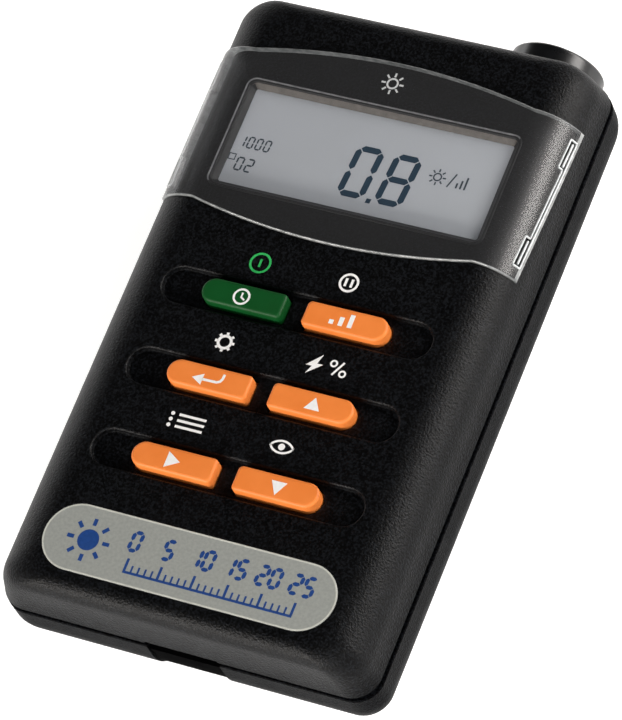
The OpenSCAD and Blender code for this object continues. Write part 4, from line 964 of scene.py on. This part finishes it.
# The window with its rounded edges painted pale as a painted highlight, its grooves and slots, and the beads
# painted pale as painted highlights
def makeWindow():
    lens = windowSolid("window", 0, window["proud"], window["seat"], window["edge"])
    low, high = side["grooveUp"] - side["grooveHalf"], side["grooveUp"] + side["grooveHalf"]
    for sign in (1, -1):
        start, end = slotTo - side["runOn"], 1 - slotTo + side["runOn"]
        cut(lens, sideBar(sign, low, high, start, end, side["grooveDeep"]))
        for start, end in ((slotFrom, slotTo), (1 - slotTo, 1 - slotFrom)):
            cut(lens, sideBar(sign, low, high + side["slotUp"], start, end, side["slotDeep"]))
    paintFaces(lens, windowFinish(lens))
    dress(lens, "root", "window_clear", ["window", "windowRimHighlight", "windowUnder", "bezel"], "window_lens")
    along = np.array(side["along"])[None, :, None]
    for sign, word in ((1, "right"), (-1, "left")):
        for name, (outline, depth) in beadOutlines().items():
            corners = np.array(outline)[:, None]
            path = (corners + (np.roll(corners, -1, 0) - corners) * along).reshape(-1, 2)
            reach = sideRound + window["proud"] - side["bead"] * depth
            points = sidePoints(sign, path[:, 0], path[:, 1], reach)
            # each bead is painted pale as a painted highlight
            dress(bead(name + word, points, side["bead"]), "root", "window_clear", "windowBead", sharp=60)


makeWindow()
print("window made")


# The bezel that lines the display opening: a ring with a rounded inner rim and walls that draw in to the
# glass. Its upper wall is painted a warm grey as painted light where the lamps light it, and a thin bead lies
# round its top, pale on the left and top as a painted highlight and dark on the right and bottom as painted
# shade
bezel = dict(grow=0.30, rim=0.42, rimSteps=8, flat=0.25, drawIn=1.2, foot=0.45, footUp=0.03, leastCorner=0.35,
             litFacing=0.55, litBelow=0.3, line=0.15, lineIn=0.12, lineUp=0.03, unlitSideIn=0.6)


def makeBezel():
    foot = boxOf("lcd_glass")[1][2] + bezel["footUp"]
    turn = np.linspace(0, 90, bezel["rimSteps"]) * degree
    width, length = opening["width"] / 2 + bezel["grow"], opening["length"] / 2 + bezel["grow"]
    flat, rim, centreY = bezel["flat"], bezel["rim"], opening["centreY"]
    inset = np.concatenate([[0], flat + rim * np.sin(turn), [flat + bezel["drawIn"], bezel["foot"]]])
    z = np.concatenate([[seatZ], seatZ - rim + rim * np.cos(turn), [foot, foot]])
    corner = np.maximum(opening["corner"] + bezel["grow"] - inset, bezel["leastCorner"])
    rings = roundedRings(width - inset, length - inset, corner, z, centreY)
    body = fromRings("display_bezel", rings, loop=True)
    x, y, z = faceCentres(body).T
    # faces of the upper wall that face the front take the warm grey: painted light
    paintFaces(body, (faceNormals(body)[:, 1] < -bezel["litFacing"]) & (y > centreY)
               & (z < seatZ - bezel["litBelow"]))
    dress(body, "root", "inner_plastic", ["bezel", "bezelLit"])
    line = roundedRings([width - bezel["lineIn"]], [length - bezel["lineIn"]], opening["corner"],
                        [seatZ + bezel["lineUp"]], centreY)[0]
    rim = bead("display_rim", line, bezel["line"])
    x, y, z = faceCentres(rim).T
    # left and top of the bead pale as a painted highlight; right and bottom take the dark bezel finish as
    # painted shade
    paintFaces(rim, (x > width - bezel["unlitSideIn"]) | (y < centreY - length + bezel["unlitSideIn"]))
    return dress(rim, "root", "inner_plastic", ["bezelEdgeHighlight", "bezel"], sharp=60)


makeBezel()
print("bezel made")


# A key: rounded top edges, straight sides down to its flange and a stem, mirrored for the left-hand side
def makeKey(name, row, sideSign, key):
    edge, y = keys["round"], keys["rows"][row]
    top, under = topZ + keys["proud"], topZ - case["wall"]
    turn = np.linspace(0, 90, keys["cornerSteps"]) * degree
    heights = np.append(topZ - keys["foot"], top - edge + edge * np.sin(turn))
    insets = np.append(0, edge * (1 - np.cos(turn)))
    outlines = [keyOutline(inset) * (sideSign, 1) + (0, y) for inset in insets]
    body = fromRings("keytop_" + name, [np.column_stack([outline, np.full(len(outline), z)])
                                        for outline, z in zip(outlines, heights)])
    flange = keyOutline(-keys["flange"]) * (sideSign, 1) + (0, y)
    weld(body, prism("flange", flange, under - keys["flangeLow"], under - keys["flangeHigh"]))
    low = boxOf("key_" + name)[0][2]
    place = (sideSign * (keys["inner"] + keys["outer"]) / 2, y, low)
    weld(body, rod("stem", place, under - keys["stemHigh"] - low, keys["stem"]))
    return dress(body, name, keySlot(name), key, "key_" + name, sharp=40)


# Row, side and colour of each key
keySides = {"power_time": (0, -1, "keyGreen"), "hold_mode": (0, 1, "keyOrange"),
            "set_enter": (1, -1, "keyOrange"), "power_up": (1, 1, "keyOrange"),
            "memory_right": (2, -1, "keyOrange"), "read_down": (2, 1, "keyOrange")}


def keySlot(name):
    return "key_green" if keySides[name][2] == "keyGreen" else "key_orange"


for name, (row, sign, key) in keySides.items():
    makeKey(name, row, sign, key)
print("keys made")


# Shares that shape the marks: the least share in a mitre, so that sharp corners stay short, the gap at the
# ends of a figure's bars in strokes, and a ray's distance from its disc in line widths
mark = dict(mitre=0.5, barGap=0.12, rayGap=1.1)


# Printed marks are thin flat solids. A line is a bar along a path, square at its ends or closed into a ring;
# its corners are mitred: each point moves along the mean of its neighbours' normals
def lineShape(points, width, closed=False):
    p = np.asarray(points, float)
    ahead = (np.roll(p, -1, 0) - p) if closed else np.diff(p, axis=0, append=2 * p[-1:] - p[-2:-1])
    behind = (p - np.roll(p, 1, 0)) if closed else np.diff(p, axis=0, prepend=2 * p[:1] - p[1:2])
    first, second = (np.column_stack([-way[:, 1], way[:, 0]]) / np.linalg.norm(way, axis=1, keepdims=True)
                     for way in (ahead, behind))
    mean = first + second
    mean /= np.maximum((mean * first).sum(1, keepdims=True), mark["mitre"])
    return ("line", p + mean * width / 2, p - mean * width / 2, closed)


def fillShape(points):
    return ("fill", np.asarray(points, float), None, True)


def circle(x, y, radius, start=0, end=360, steps=32):
    angle = np.linspace(start, end, steps, endpoint=(end - start) % 360 != 0) * degree
    return np.column_stack([x + radius * np.cos(angle), y + radius * np.sin(angle)])


# Joins printed marks into one mesh of closed solids, from a height up by the thickness of the ink
def printMarks(name, shapes, z, body, slot, key, thick=0.025, sink=0.03):
    points, faces = [], []
    for kind, first, second, closed in shapes:
        base, n = len(points), len(first)
        if kind == "line":
            for line, h in ((first, z - sink), (first, z + thick), (second, z + thick), (second, z - sink)):
                points += [(x, y, h) for x, y in line]
            cells = gridFaces(4, n, True, closed)
            faces += [[base + i for i in face] for face in cells]
            if not closed:
                faces += [[base + k * n for k in range(4)], [base + k * n + n - 1 for k in range(4)]]
        else:
            points += [(x, y, z - sink) for x, y in first] + [(x, y, z + thick) for x, y in first]
            faces += [[base + i for i in face] for face in gridFaces(2, n, False, True)]
            faces += [list(range(base, base + n)), list(range(base + n, base + 2 * n))]
    piece = fromPoints(name, points, faces)
    return dress(piece, body, slot, key)


# Polygons of one seven-segment figure: six-sided bars, leaning by a share of their height
def figureShapes(figure, x, y, width, height, stroke, lean=0.07):
    lit = {"0": "abcdef", "1": "bc", "2": "abged", "5": "afgcd", "8": "abcdefg"}[figure]
    half, gap = height / 2, stroke * mark["barGap"]
    ends = {"a": ((0, height), (width, height)), "g": ((0, half), (width, half)), "d": ((0, 0), (width, 0)),
            "f": ((0, half), (0, height)), "b": ((width, half), (width, height)),
            "e": ((0, 0), (0, half)), "c": ((width, 0), (width, half))}
    shapes = []
    for name in lit:
        (x0, y0), (x1, y1) = ends[name]
        along = np.array([x1 - x0, y1 - y0], float)
        along /= np.linalg.norm(along)
        across = np.array([-along[1], along[0]]) * stroke / 2
        p, q = np.array([x0, y0]) + along * gap, np.array([x1, y1]) - along * gap
        tip = along * stroke / 2
        bar = np.array([p, p + tip - across, q - tip - across, q, q - tip + across, p + tip + across])
        bar[:, 0] += bar[:, 1] * lean
        shapes.append(fillShape(bar + (x, y)))
    return shapes


# The sun sign: a disc or ring with rays, which stand off it by a little more than the line's width
def sunShapes(place, radius, ray, width, rays=8, solid=False):
    outline = circle(*place, radius)
    shapes = [fillShape(outline) if solid else lineShape(outline, width, True)]
    start = radius + width * mark["rayGap"]
    for angle in 2 * math.pi * np.arange(rays) / rays:
        way = np.array([math.cos(angle), math.sin(angle)])
        shapes.append(lineShape([way * start + place, way * (start + ray) + place], width))
    return shapes


# A ring, and a line through points given from a place
def ringAt(place, radius, width):
    return lineShape(circle(*place, radius), width, True)


def lineAt(place, points, width, closed=False):
    return lineShape(np.add(points, place), width, closed)


# The display: a big reading, two small rows of figures, and a small sun and bars in place of a unit
digits = dict(figures="08", places=(-2.3, 4.15), y=21.55, width=3.75, height=8.1, stroke=1.05,
              point=(2.45, 20.7), pointSize=0.8, pointLean=0.1)
smallRows = [dict(figures="1000", x=-21.5, y=25.4, pitch=1.45, width=0.85, height=1.9, stroke=0.26),
             dict(figures="02", x=-20.6, y=21.3, pitch=1.75, width=1.05, height=2.2, stroke=0.28)]
boxMark = dict(place=(-22.2, 22.9), width=1.1, height=1.0, line=0.16)
unit = dict(sun=(12.2, 27.7), radius=0.62, ray=0.55, line=0.24, slash=[(14.2, 26.4), (15.1, 28.9)], bar=0.3,
            bars=[(15.7, 27.4), (16.4, 28.0), (17.1, 28.7)], barLow=26.5)


def makeDisplay():
    glassTop = boxOf("lcd_glass")[1][2]
    marks = []
    for figure, x in zip(digits["figures"], digits["places"]):
        marks += figureShapes(figure, x, digits["y"], digits["width"], digits["height"], digits["stroke"])
    size, lean = digits["pointSize"], digits["pointLean"]
    point = [(0, 0), (size, 0), (size + lean, size), (lean, size)]
    marks.append(fillShape(np.add(point, digits["point"])))
    printMarks("reading", marks, glassTop, "root", "display_glass", "segment")
    small = []
    for row in smallRows:
        for i, figure in enumerate(row["figures"]):
            small += figureShapes(figure, row["x"] + row["pitch"] * i, row["y"], row["width"], row["height"],
                                  row["stroke"])
    wide, high = boxMark["width"], boxMark["height"]
    corners = [(0, 0), (wide, 0), (wide, high), (0, high)]
    small.append(lineAt(boxMark["place"], corners, boxMark["line"], True))
    small += sunShapes(unit["sun"], unit["radius"], unit["ray"], unit["line"])
    small.append(lineShape(unit["slash"], unit["line"]))
    small += [lineShape([(x, unit["barLow"]), (x, top)], unit["bar"]) for x, top in unit["bars"]]
    printMarks("small_readings", small, glassTop, "root", "display_glass", "faintSegment")


makeDisplay()
print("display made")

# Signs on the case: where each one stands, the widths of its lines, and its shapes from that place
signAt = dict(power=(-8.7, 5.66), pause=(6.4, 5.85), gear=(-9.0, -8.55), bolt=(6.35, -8.5),
              percent=(10.25, -8.4), rows=(-12.3, -23.9), eye=(6.6, -22.95))
power = dict(radius=1.62, low=-0.71, high=0.69, line=0.36)
pause = dict(radius=1.45, ring=0.38, apart=0.5, high=0.7, line=0.42)
bolt = [(-0.35, -0.4), (-0.95, -1.8), (1.35, 0.15), (0.35, 0.15), (0.85, 1.8), (-1.35, -0.4)]
percent = dict(slash=[(-0.65, -1.2), (0.65, 1.2)], line=0.34, rings=((-0.95, 0.7), (0.95, -0.7)), radius=0.48,
               ring=0.3)
gear = dict(radius=1.05, teeth=8, toothFrom=1.2, toothTo=1.65, line=0.45)
rows = dict(count=3, pitch=1.0, start=1.1, end=5.7, line=0.42, dot=0.33)
eye = dict(radius=2.35, centre=1.35, start=35, end=145, steps=16, line=0.34, pupil=0.55)


# White line signs above the keys, and a green power ring
def makeCaseSigns():
    ring = [ringAt(signAt["power"], power["radius"], power["line"]),
            lineAt(signAt["power"], [(0, power["low"]), (0, power["high"])], power["line"])]
    printMarks("power_ring", ring, topZ, "root", "case_plastic", "greenInk")
    signs = [ringAt(signAt["pause"], pause["radius"], pause["ring"])]
    signs += [lineAt(signAt["pause"], [(x, -pause["high"]), (x, pause["high"])], pause["line"])
              for x in (-pause["apart"], pause["apart"])]
    signs.append(ringAt(signAt["gear"], gear["radius"], gear["line"]))
    for angle in 2 * math.pi * np.arange(gear["teeth"]) / gear["teeth"]:
        way = np.array([math.cos(angle), math.sin(angle)])
        signs.append(lineAt(signAt["gear"], [way * gear["toothFrom"], way * gear["toothTo"]], gear["line"]))
    signs.append(fillShape(np.add(bolt, signAt["bolt"])))
    signs.append(lineAt(signAt["percent"], percent["slash"], percent["line"]))
    signs += [ringAt(np.add(signAt["percent"], shift), percent["radius"], percent["ring"])
              for shift in percent["rings"]]
    for i in range(rows["count"]):
        place = np.add(signAt["rows"], (0, i * rows["pitch"]))
        signs.append(lineAt(place, [(rows["start"], 0), (rows["end"], 0)], rows["line"]))
        signs.append(fillShape(circle(*place, rows["dot"], steps=16)))
    x, y = signAt["eye"]
    start, end, steps = eye["start"], eye["end"], eye["steps"]
    lids = [arcPoints(x, y - eye["centre"], eye["radius"], start, end, steps),
            arcPoints(x, y + eye["centre"], eye["radius"], start + 180, end + 180, steps)]
    signs.append(lineShape(np.concatenate(lids), eye["line"], True))
    signs.append(fillShape(circle(x, y, eye["pupil"], steps=20)))
    printMarks("case_signs", signs, topZ, "root", "case_plastic", "whiteInk")


makeCaseSigns()

# Signs on the keys, which ride with them, and the sun sign on the window
keySigns = {
    "power_time": [ringAt((-8.9, -1.0), 1.25, 0.34),
                   lineAt((-8.9, -1.1), [(0, 0.8), (0, 0), (0.65, -0.4)], 0.3)],
    "hold_mode": [lineAt((6.6 + 1.55 * i, -1.9), [(0, 0), (0, 0.75 * (i + 1))], 0.75) for i in range(3)],
    "set_enter": [lineShape([(-6.3, -14.2), (-6.35, -15.0), (-6.6, -15.5), (-7.1, -15.75), (-9.6, -15.8)],
                            0.42),
                  fillShape([(-11.3, -15.8), (-9.5, -14.85), (-9.5, -16.75)])],
    "power_up": [fillShape([(9.2, -14.25), (7.9, -16.35), (10.5, -16.35)])],
    "memory_right": [fillShape([(-7.5, -29.85), (-9.8, -28.5), (-9.8, -31.2)])],
    "read_down": [fillShape([(9.0, -31.15), (7.7, -28.85), (10.3, -28.85)])],
}
keyInk = 0.02  # thickness of the print on a key
windowSign = dict(place=(0.3, 40.3), radius=0.85, ray=0.7, line=0.3, down=0.02, thick=0.018)
for name, shapes in keySigns.items():
    printMarks("sign_" + name, shapes, topZ + keys["proud"], name, keySlot(name), "whiteInk", thick=keyInk)
sunSign = sunShapes(windowSign["place"], windowSign["radius"], windowSign["ray"], windowSign["line"])
printMarks("window_sign", sunSign, windowHigh[2] - windowSign["down"], "root", "window_clear", "whiteInk",
           thick=windowSign["thick"])
print("signs made")

# The label's sun, its tick scale, the figures over the scale, and the plate's own edges
labelSun = dict(x=-17.0, radius=1.75, ray=1.15, line=0.62)
scale = dict(ticks=26, first=-9.5, pitch=1.12, group=5, low=3.3, long=1.2, short=2.2, longLine=0.42,
             shortLine=0.3, base=3.45, baseOver=0.2, baseLine=0.4)
figures = dict(words=("0", "5", "10", "15", "20", "25"), back=1.05, shift=0.25, pitch=2.15, up=0.15,
               width=1.4, height=3.0, stroke=0.62, lean=0.06)
plate = dict(edge=0.05, edgeIn=0.05, flat=0.02, flatIn=0.3, borderIn=0.03, borderTop=0.07, borderOut=0.1,
             ink=0.015)


# The label: a thin obround plate with a raised border painted lighter as a painted highlight, a sun and a
# tick scale with figures
def makeLabel():
    size, (x, y) = (labelHigh - labelLow)[:2], ((labelLow + labelHigh) / 2)[:2]
    low, top = labelLow[2], labelHigh[2]
    flat, rim = top - plate["flat"], label["rim"]
    heights, insets = [low, top - plate["edge"], flat, flat], [0, 0, plate["edgeIn"], plate["flatIn"]]
    body = obroundRings(*size, heights, insets, (x, y))
    dress(fromRings("label_plate", body), "root", "label_film", "label", "name_plate")
    under = top - plate["borderIn"]
    insets = [plate["borderIn"], plate["borderTop"], plate["borderTop"] + rim, plate["borderOut"] + rim]
    edge = obroundRings(*size, [under, top, top, under], insets, (x, y))
    # the border is painted pale as a painted highlight
    dress(fromRings("label_border", edge, loop=True), "root", "label_film", "labelRim")
    shapes = sunShapes((labelSun["x"], y), labelSun["radius"], labelSun["ray"], labelSun["line"], solid=True)
    for i in range(scale["ticks"]):
        kind = "long" if i % scale["group"] == 0 else "short"
        x = scale["first"] + i * scale["pitch"]
        shapes.append(lineShape([(x, y - scale["low"]), (x, y - scale[kind])], scale[kind + "Line"]))
    base = y - scale["base"]
    shapes.append(lineShape([(scale["first"] - scale["baseOver"], base), (x + scale["baseOver"], base)],
                            scale["baseLine"]))
    for i, word in enumerate(figures["words"]):
        middle = scale["first"] + i * scale["group"] * scale["pitch"]
        start = middle - figures["back"] * len(word) + figures["shift"]
        for k, figure in enumerate(word):
            shapes += figureShapes(figure, start + figures["pitch"] * k, y + figures["up"], figures["width"],
                                   figures["height"], figures["stroke"], figures["lean"])
    printMarks("label_print", shapes, flat, "root", "label_film", "blueInk", thick=plate["ink"])


makeLabel()
print("label made")


# The sensor boss: a turned ring with a rounded rim, stepped inside for the diffuser, seal, filter and
# photodiode
boss = dict(rim=0.6, mouth=0.35, rimSteps=7, flangeUp=1.9, flangeThick=1.0, fit=0.1, seatDeep=0.8,
            filterLip=0.7)
dome = dict(down=0.55, rise=0.42, turn=88, edge=0.1, rows=12, steps=72)


def makeSensor():
    foot, face = boxOf("sensor_housing")[0][1], boxOf("sensor_housing")[1][1]
    diffuserLow, diffuserHigh = boxOf("sensor_diffuser")
    filterLow, filterHigh = boxOf("sensor_filter")
    outer, flange, centre = sensor["boss"], sensor["flange"], (sensor["x"], 0, sensor["z"])
    radius = (diffuserHigh[0] - diffuserLow[0]) / 2
    seat, filterSeat = radius + boss["fit"], (filterHigh[0] - filterLow[0]) / 2 + boss["fit"]
    turn = np.linspace(0, 90, boss["rimSteps"]) * degree
    r, m = boss["rim"], boss["mouth"]
    rim = [(outer - r + r * math.cos(t), face - r + r * math.sin(t)) for t in turn]
    inner = [(seat + m - m * math.sin(t), face - m + m * math.cos(t)) for t in turn]
    low = foot + boss["flangeUp"]
    high = low + boss["flangeThick"]
    step, shelf = diffuserLow[1] - boss["seatDeep"], filterLow[1] - boss["fit"]
    bore = filterSeat - boss["filterLip"]
    profile = [(outer, foot), (outer, low), (flange, low), (flange, high), (outer, high)] + rim + inner + [
        (seat, step), (filterSeat, step), (filterSeat, shelf), (bore, shelf), (bore, foot)]
    ring = turned("sensor_boss", profile, centre, "y", sensor["steps"], loop=True)
    dress(ring, "root", "boss_plastic", "boss", "sensor_housing")
    back, edge = diffuserLow[1], dome["edge"]
    top = [(radius * math.cos(t), face - dome["down"] + dome["rise"] * math.sin(t))
           for t in np.linspace(0, dome["turn"], dome["rows"]) * degree]
    outline = [(radius - edge, back), (radius, back + edge)] + top
    cap = turned("diffuser_dome", outline, centre, "y", dome["steps"])
    dress(cap, "root", "diffuser_white", "white", "sensor_diffuser")


makeSensor()
print("sensor made")


# Case screws: pan heads with a cross recess, and shanks with turned threads
screw = dict(head=2.3, headHigh=1.7, domeDown=0.7, dome=1.0, domeFlat=0.25, domeSteps=9, shank=1.3, pitch=0.9,
             deep=0.28, threadUp=0.6, plain=1.5, tip=0.3, steps=40, cross=(1.5, 0.32), crossDeep=1.1)


def makeScrews():
    low, high = boxOf("case_screws")
    seat, head, shank, flat = low[2] + screw["headHigh"], screw["head"], screw["shank"], screw["domeFlat"]
    core = shank - screw["deep"]
    top = [(flat + (head - flat) * math.sin(t), seat - screw["domeDown"] - screw["dome"] * math.cos(t))
           for t in np.linspace(0, 90, screw["domeSteps"]) * degree]
    ridges = []
    for i in range(int((high[2] - seat - screw["plain"]) / screw["pitch"])):
        z = seat + screw["threadUp"] + i * screw["pitch"]
        ridges += [(core, z), (shank, z + screw["pitch"] / 2)]
    profile = top + [(head, seat), (core, seat)] + ridges + [(screw["tip"], high[2])]
    crossLow, crossHigh = low[2] - over, low[2] + screw["crossDeep"]
    made = []
    for x, y in screws["places"]:
        one = turned("cross_screws", profile, (x, y, 0), steps=screw["steps"])
        for a, b in (screw["cross"], screw["cross"][::-1]):
            cut(one, block("cross", (x - a, y - b, crossLow), (x + a, y + b, crossHigh)))
        made.append(one)
    dress(weld(*made), "root", "zinc_steel", "zinc", "case_screws")


makeScrews()

# The tripod insert: its thread's pitch and depth, and the chamfers of its flange
insert = dict(pitch=1.27, deep=0.62, steps=64, rows=90, slack=0.02, threadLow=0.3, threadHigh=0.1,
              edgeHigh=0.3, edgeLow=0.25, mouth=0.35)


# A flanged brass bush whose bore is a helical thread, radius falling and rising once a pitch
def makeInsert():
    low, high = boxOf("tripod_nut")
    angle = np.linspace(0, 2 * math.pi, insert["steps"], endpoint=False)
    z = np.linspace(low[2] + insert["threadLow"], high[2] - insert["threadHigh"], insert["rows"])
    phase = (z[:, None] / insert["pitch"] - angle[None, :] / (2 * math.pi)) % 1
    bore = tripod["radius"] + insert["slack"] - insert["deep"] * (1 - np.abs(2 * phase - 1))
    outer, bottom, top = (high[0] - low[0]) / 2, low[2], high[2]

    def ringOf(radius, height):
        x, y = radius * np.cos(angle), radius * np.sin(angle) + tripod["y"]
        return np.column_stack([x, y, height + 0 * angle])

    edgeHigh, edgeLow = insert["edgeHigh"], insert["edgeLow"]
    profile = [(outer - edgeHigh, top), (outer, top - edgeHigh), (outer, bottom + edgeLow),
               (outer - edgeLow, bottom), (tripod["radius"] + insert["mouth"], bottom)]
    rings = [ringOf(radius, height) for radius, height in profile + list(zip(bore, z))]
    dress(fromRings("tripod_insert", rings, loop=True), "root", "brass", "brass", "tripod_nut", sharp=50)


makeInsert()

# Cells: insets and drops of the can's foot, shoulder and button, and where its pale band starts, as a share
can = dict(foot=0.5, footIn=1.4, shoulder=0.6, shoulderDown=1.6, sleeve=(0.72, 0.74, 0.9), capIn=1.2,
           capDown=1.0, lipIn=1.3, lipDown=1.15, button=1.9, buttonFoot=1.95, buttonUp=0.9,
           buttonRound=0.3, roundSteps=6, steps=64, band=0.73, metalIn=0.75)


# Middle of a cell across the meter, its lowest and highest points, and 1 or -1 for the way its button points
def cellPlace(i):
    low, high = boxOf("battery_%d" % (i + 1))
    return (low[0] + high[0]) / 2, (low[2] + high[2]) / 2, low, high, 1 if i % 2 == 0 else -1


# Turned cans with a rounded shoulder, a button and a shrunk sleeve with a pale band
def makeCells():
    turn = np.linspace(0, 90, can["roundSteps"]) * degree
    f, s, b = can["foot"], can["shoulder"], can["buttonRound"]
    for i in range(bay["cells"]):
        x, z, low, high, up = cellPlace(i)
        radius, length = (high[0] - low[0]) / 2, high[1] - low[1]
        tail = low[1] if up > 0 else high[1]
        rim = length - can["lipDown"]
        profile = [(radius - can["footIn"], 0)]
        profile += [(radius - f + f * math.sin(t), f - f * math.cos(t)) for t in turn]
        profile += [(radius, length * share) for share in can["sleeve"]]
        shoulder = length - can["shoulderDown"]
        profile += [(radius - s + s * math.cos(t), shoulder + s * math.sin(t)) for t in turn]
        profile += [(radius - can["capIn"], length - can["capDown"]), (radius - can["lipIn"], rim),
                    (can["buttonFoot"], rim), (can["button"], length - can["buttonUp"])]
        profile += [(can["button"] - b + b * math.cos(t), length - b + b * math.sin(t)) for t in turn]
        cell = turned("cell_%d" % (i + 1), profile, (x, tail, z), "y", can["steps"], sign=up)
        centre = faceCentres(cell)
        band = (centre[:, 1] - tail) * up > length * can["band"]
        metal = np.hypot(centre[:, 0] - x, centre[:, 2] - z) < radius - can["metalIn"]
        paintFaces(cell, np.select([metal, band], [2, 1], 0))
        dress(cell, "root", "cell_sleeve", ["sleeve", "sleeveBand", "steel"], "battery_%d" % (i + 1))


makeCells()

# Contact springs: the wire's radius, the coil's turns and radii, its length, and its gaps to plate and wall
spring = dict(wire=0.35, turns=3.0, steps=28, sides=12, foot=3.3, draw=0.8, length=4.8, clear=0.05, wall=0.3)


# A conical helix, with a circle of the wire's radius carried along it
def makeSprings():
    wire = spring["wire"]
    end = wire + spring["clear"]
    t = np.linspace(0, 1, int(spring["turns"] * spring["steps"]) + 1)[:, None]
    a = 2 * math.pi * spring["turns"] * t
    b = np.linspace(0, 2 * math.pi, spring["sides"], endpoint=False)[None, :]
    reach = spring["foot"] - spring["draw"] * t + wire * np.cos(b)
    for i in range(bay["cells"]):
        x, z, low, high, up = cellPlace(i)
        start = bay["low"] + spring["wall"] if up > 0 else bay["high"] - spring["wall"]
        y = start + up * (end + (spring["length"] - 2 * end) * t) + up * wire * np.sin(b)
        rings = np.stack([x + reach * np.cos(a), y, z + reach * np.sin(a)], -1)
        coil = fromRings("spring_%d" % (i + 1), rings)
        dress(coil, "root", "spring_steel", "steel", *(["battery_springs"] if i == 0 else []))


makeSprings()
print("screws, insert, cells and springs made")

# CAD nodes whose shape is right keep it, and take a finish
finishes = {
    "lcd_glass": "display", "lcd_reflector": "reflector", "lcd_holder": "inner", "zebra_strips": "zebra",
    "keypad_mat": "silicone", "main_board": "board", "board_chips": "chip", "board_crystal": "steel",
    "board_screws": "zinc", "sensor_seal": "rubber", "sensor_filter": "filter", "photodiode": "steel",
    "sensor_leads": "gold", "data_jack": "inner", "battery_plates": "steel", "lead_red": "redWire",
    "lead_black": "blackWire", "door_pad": "foam",
}
finishes.update({"pill_" + name: "carbon" for name in keySides})
for node, key in finishes.items():
    nodes[node].data.materials.clear()
    nodes[node].data.materials.append(paint[key])
print("CAD nodes dressed:", len(finishes))

# The floor, a pale disc just below the back, which glows a little so that it stays white under the meter
ground = dict(radius=4000, steps=96, below=0.02, glow=0.6)


def makeFloor():
    steps, z = ground["steps"], -ground["below"]
    points = [(x, y, z) for x, y in circle(0, 0, ground["radius"], steps=steps)] + [(0, 0, z)]
    disc = fromPoints("floor", points, [[i, (i + 1) % steps, steps] for i in range(steps)])
    shader = paint["floor"].node_tree.nodes["Principled BSDF"]
    shader.inputs["Emission Color"].default_value = (1, 1, 1, 1)
    shader.inputs["Emission Strength"].default_value = ground["glow"]
    disc.data.materials.append(paint["floor"])


makeFloor()
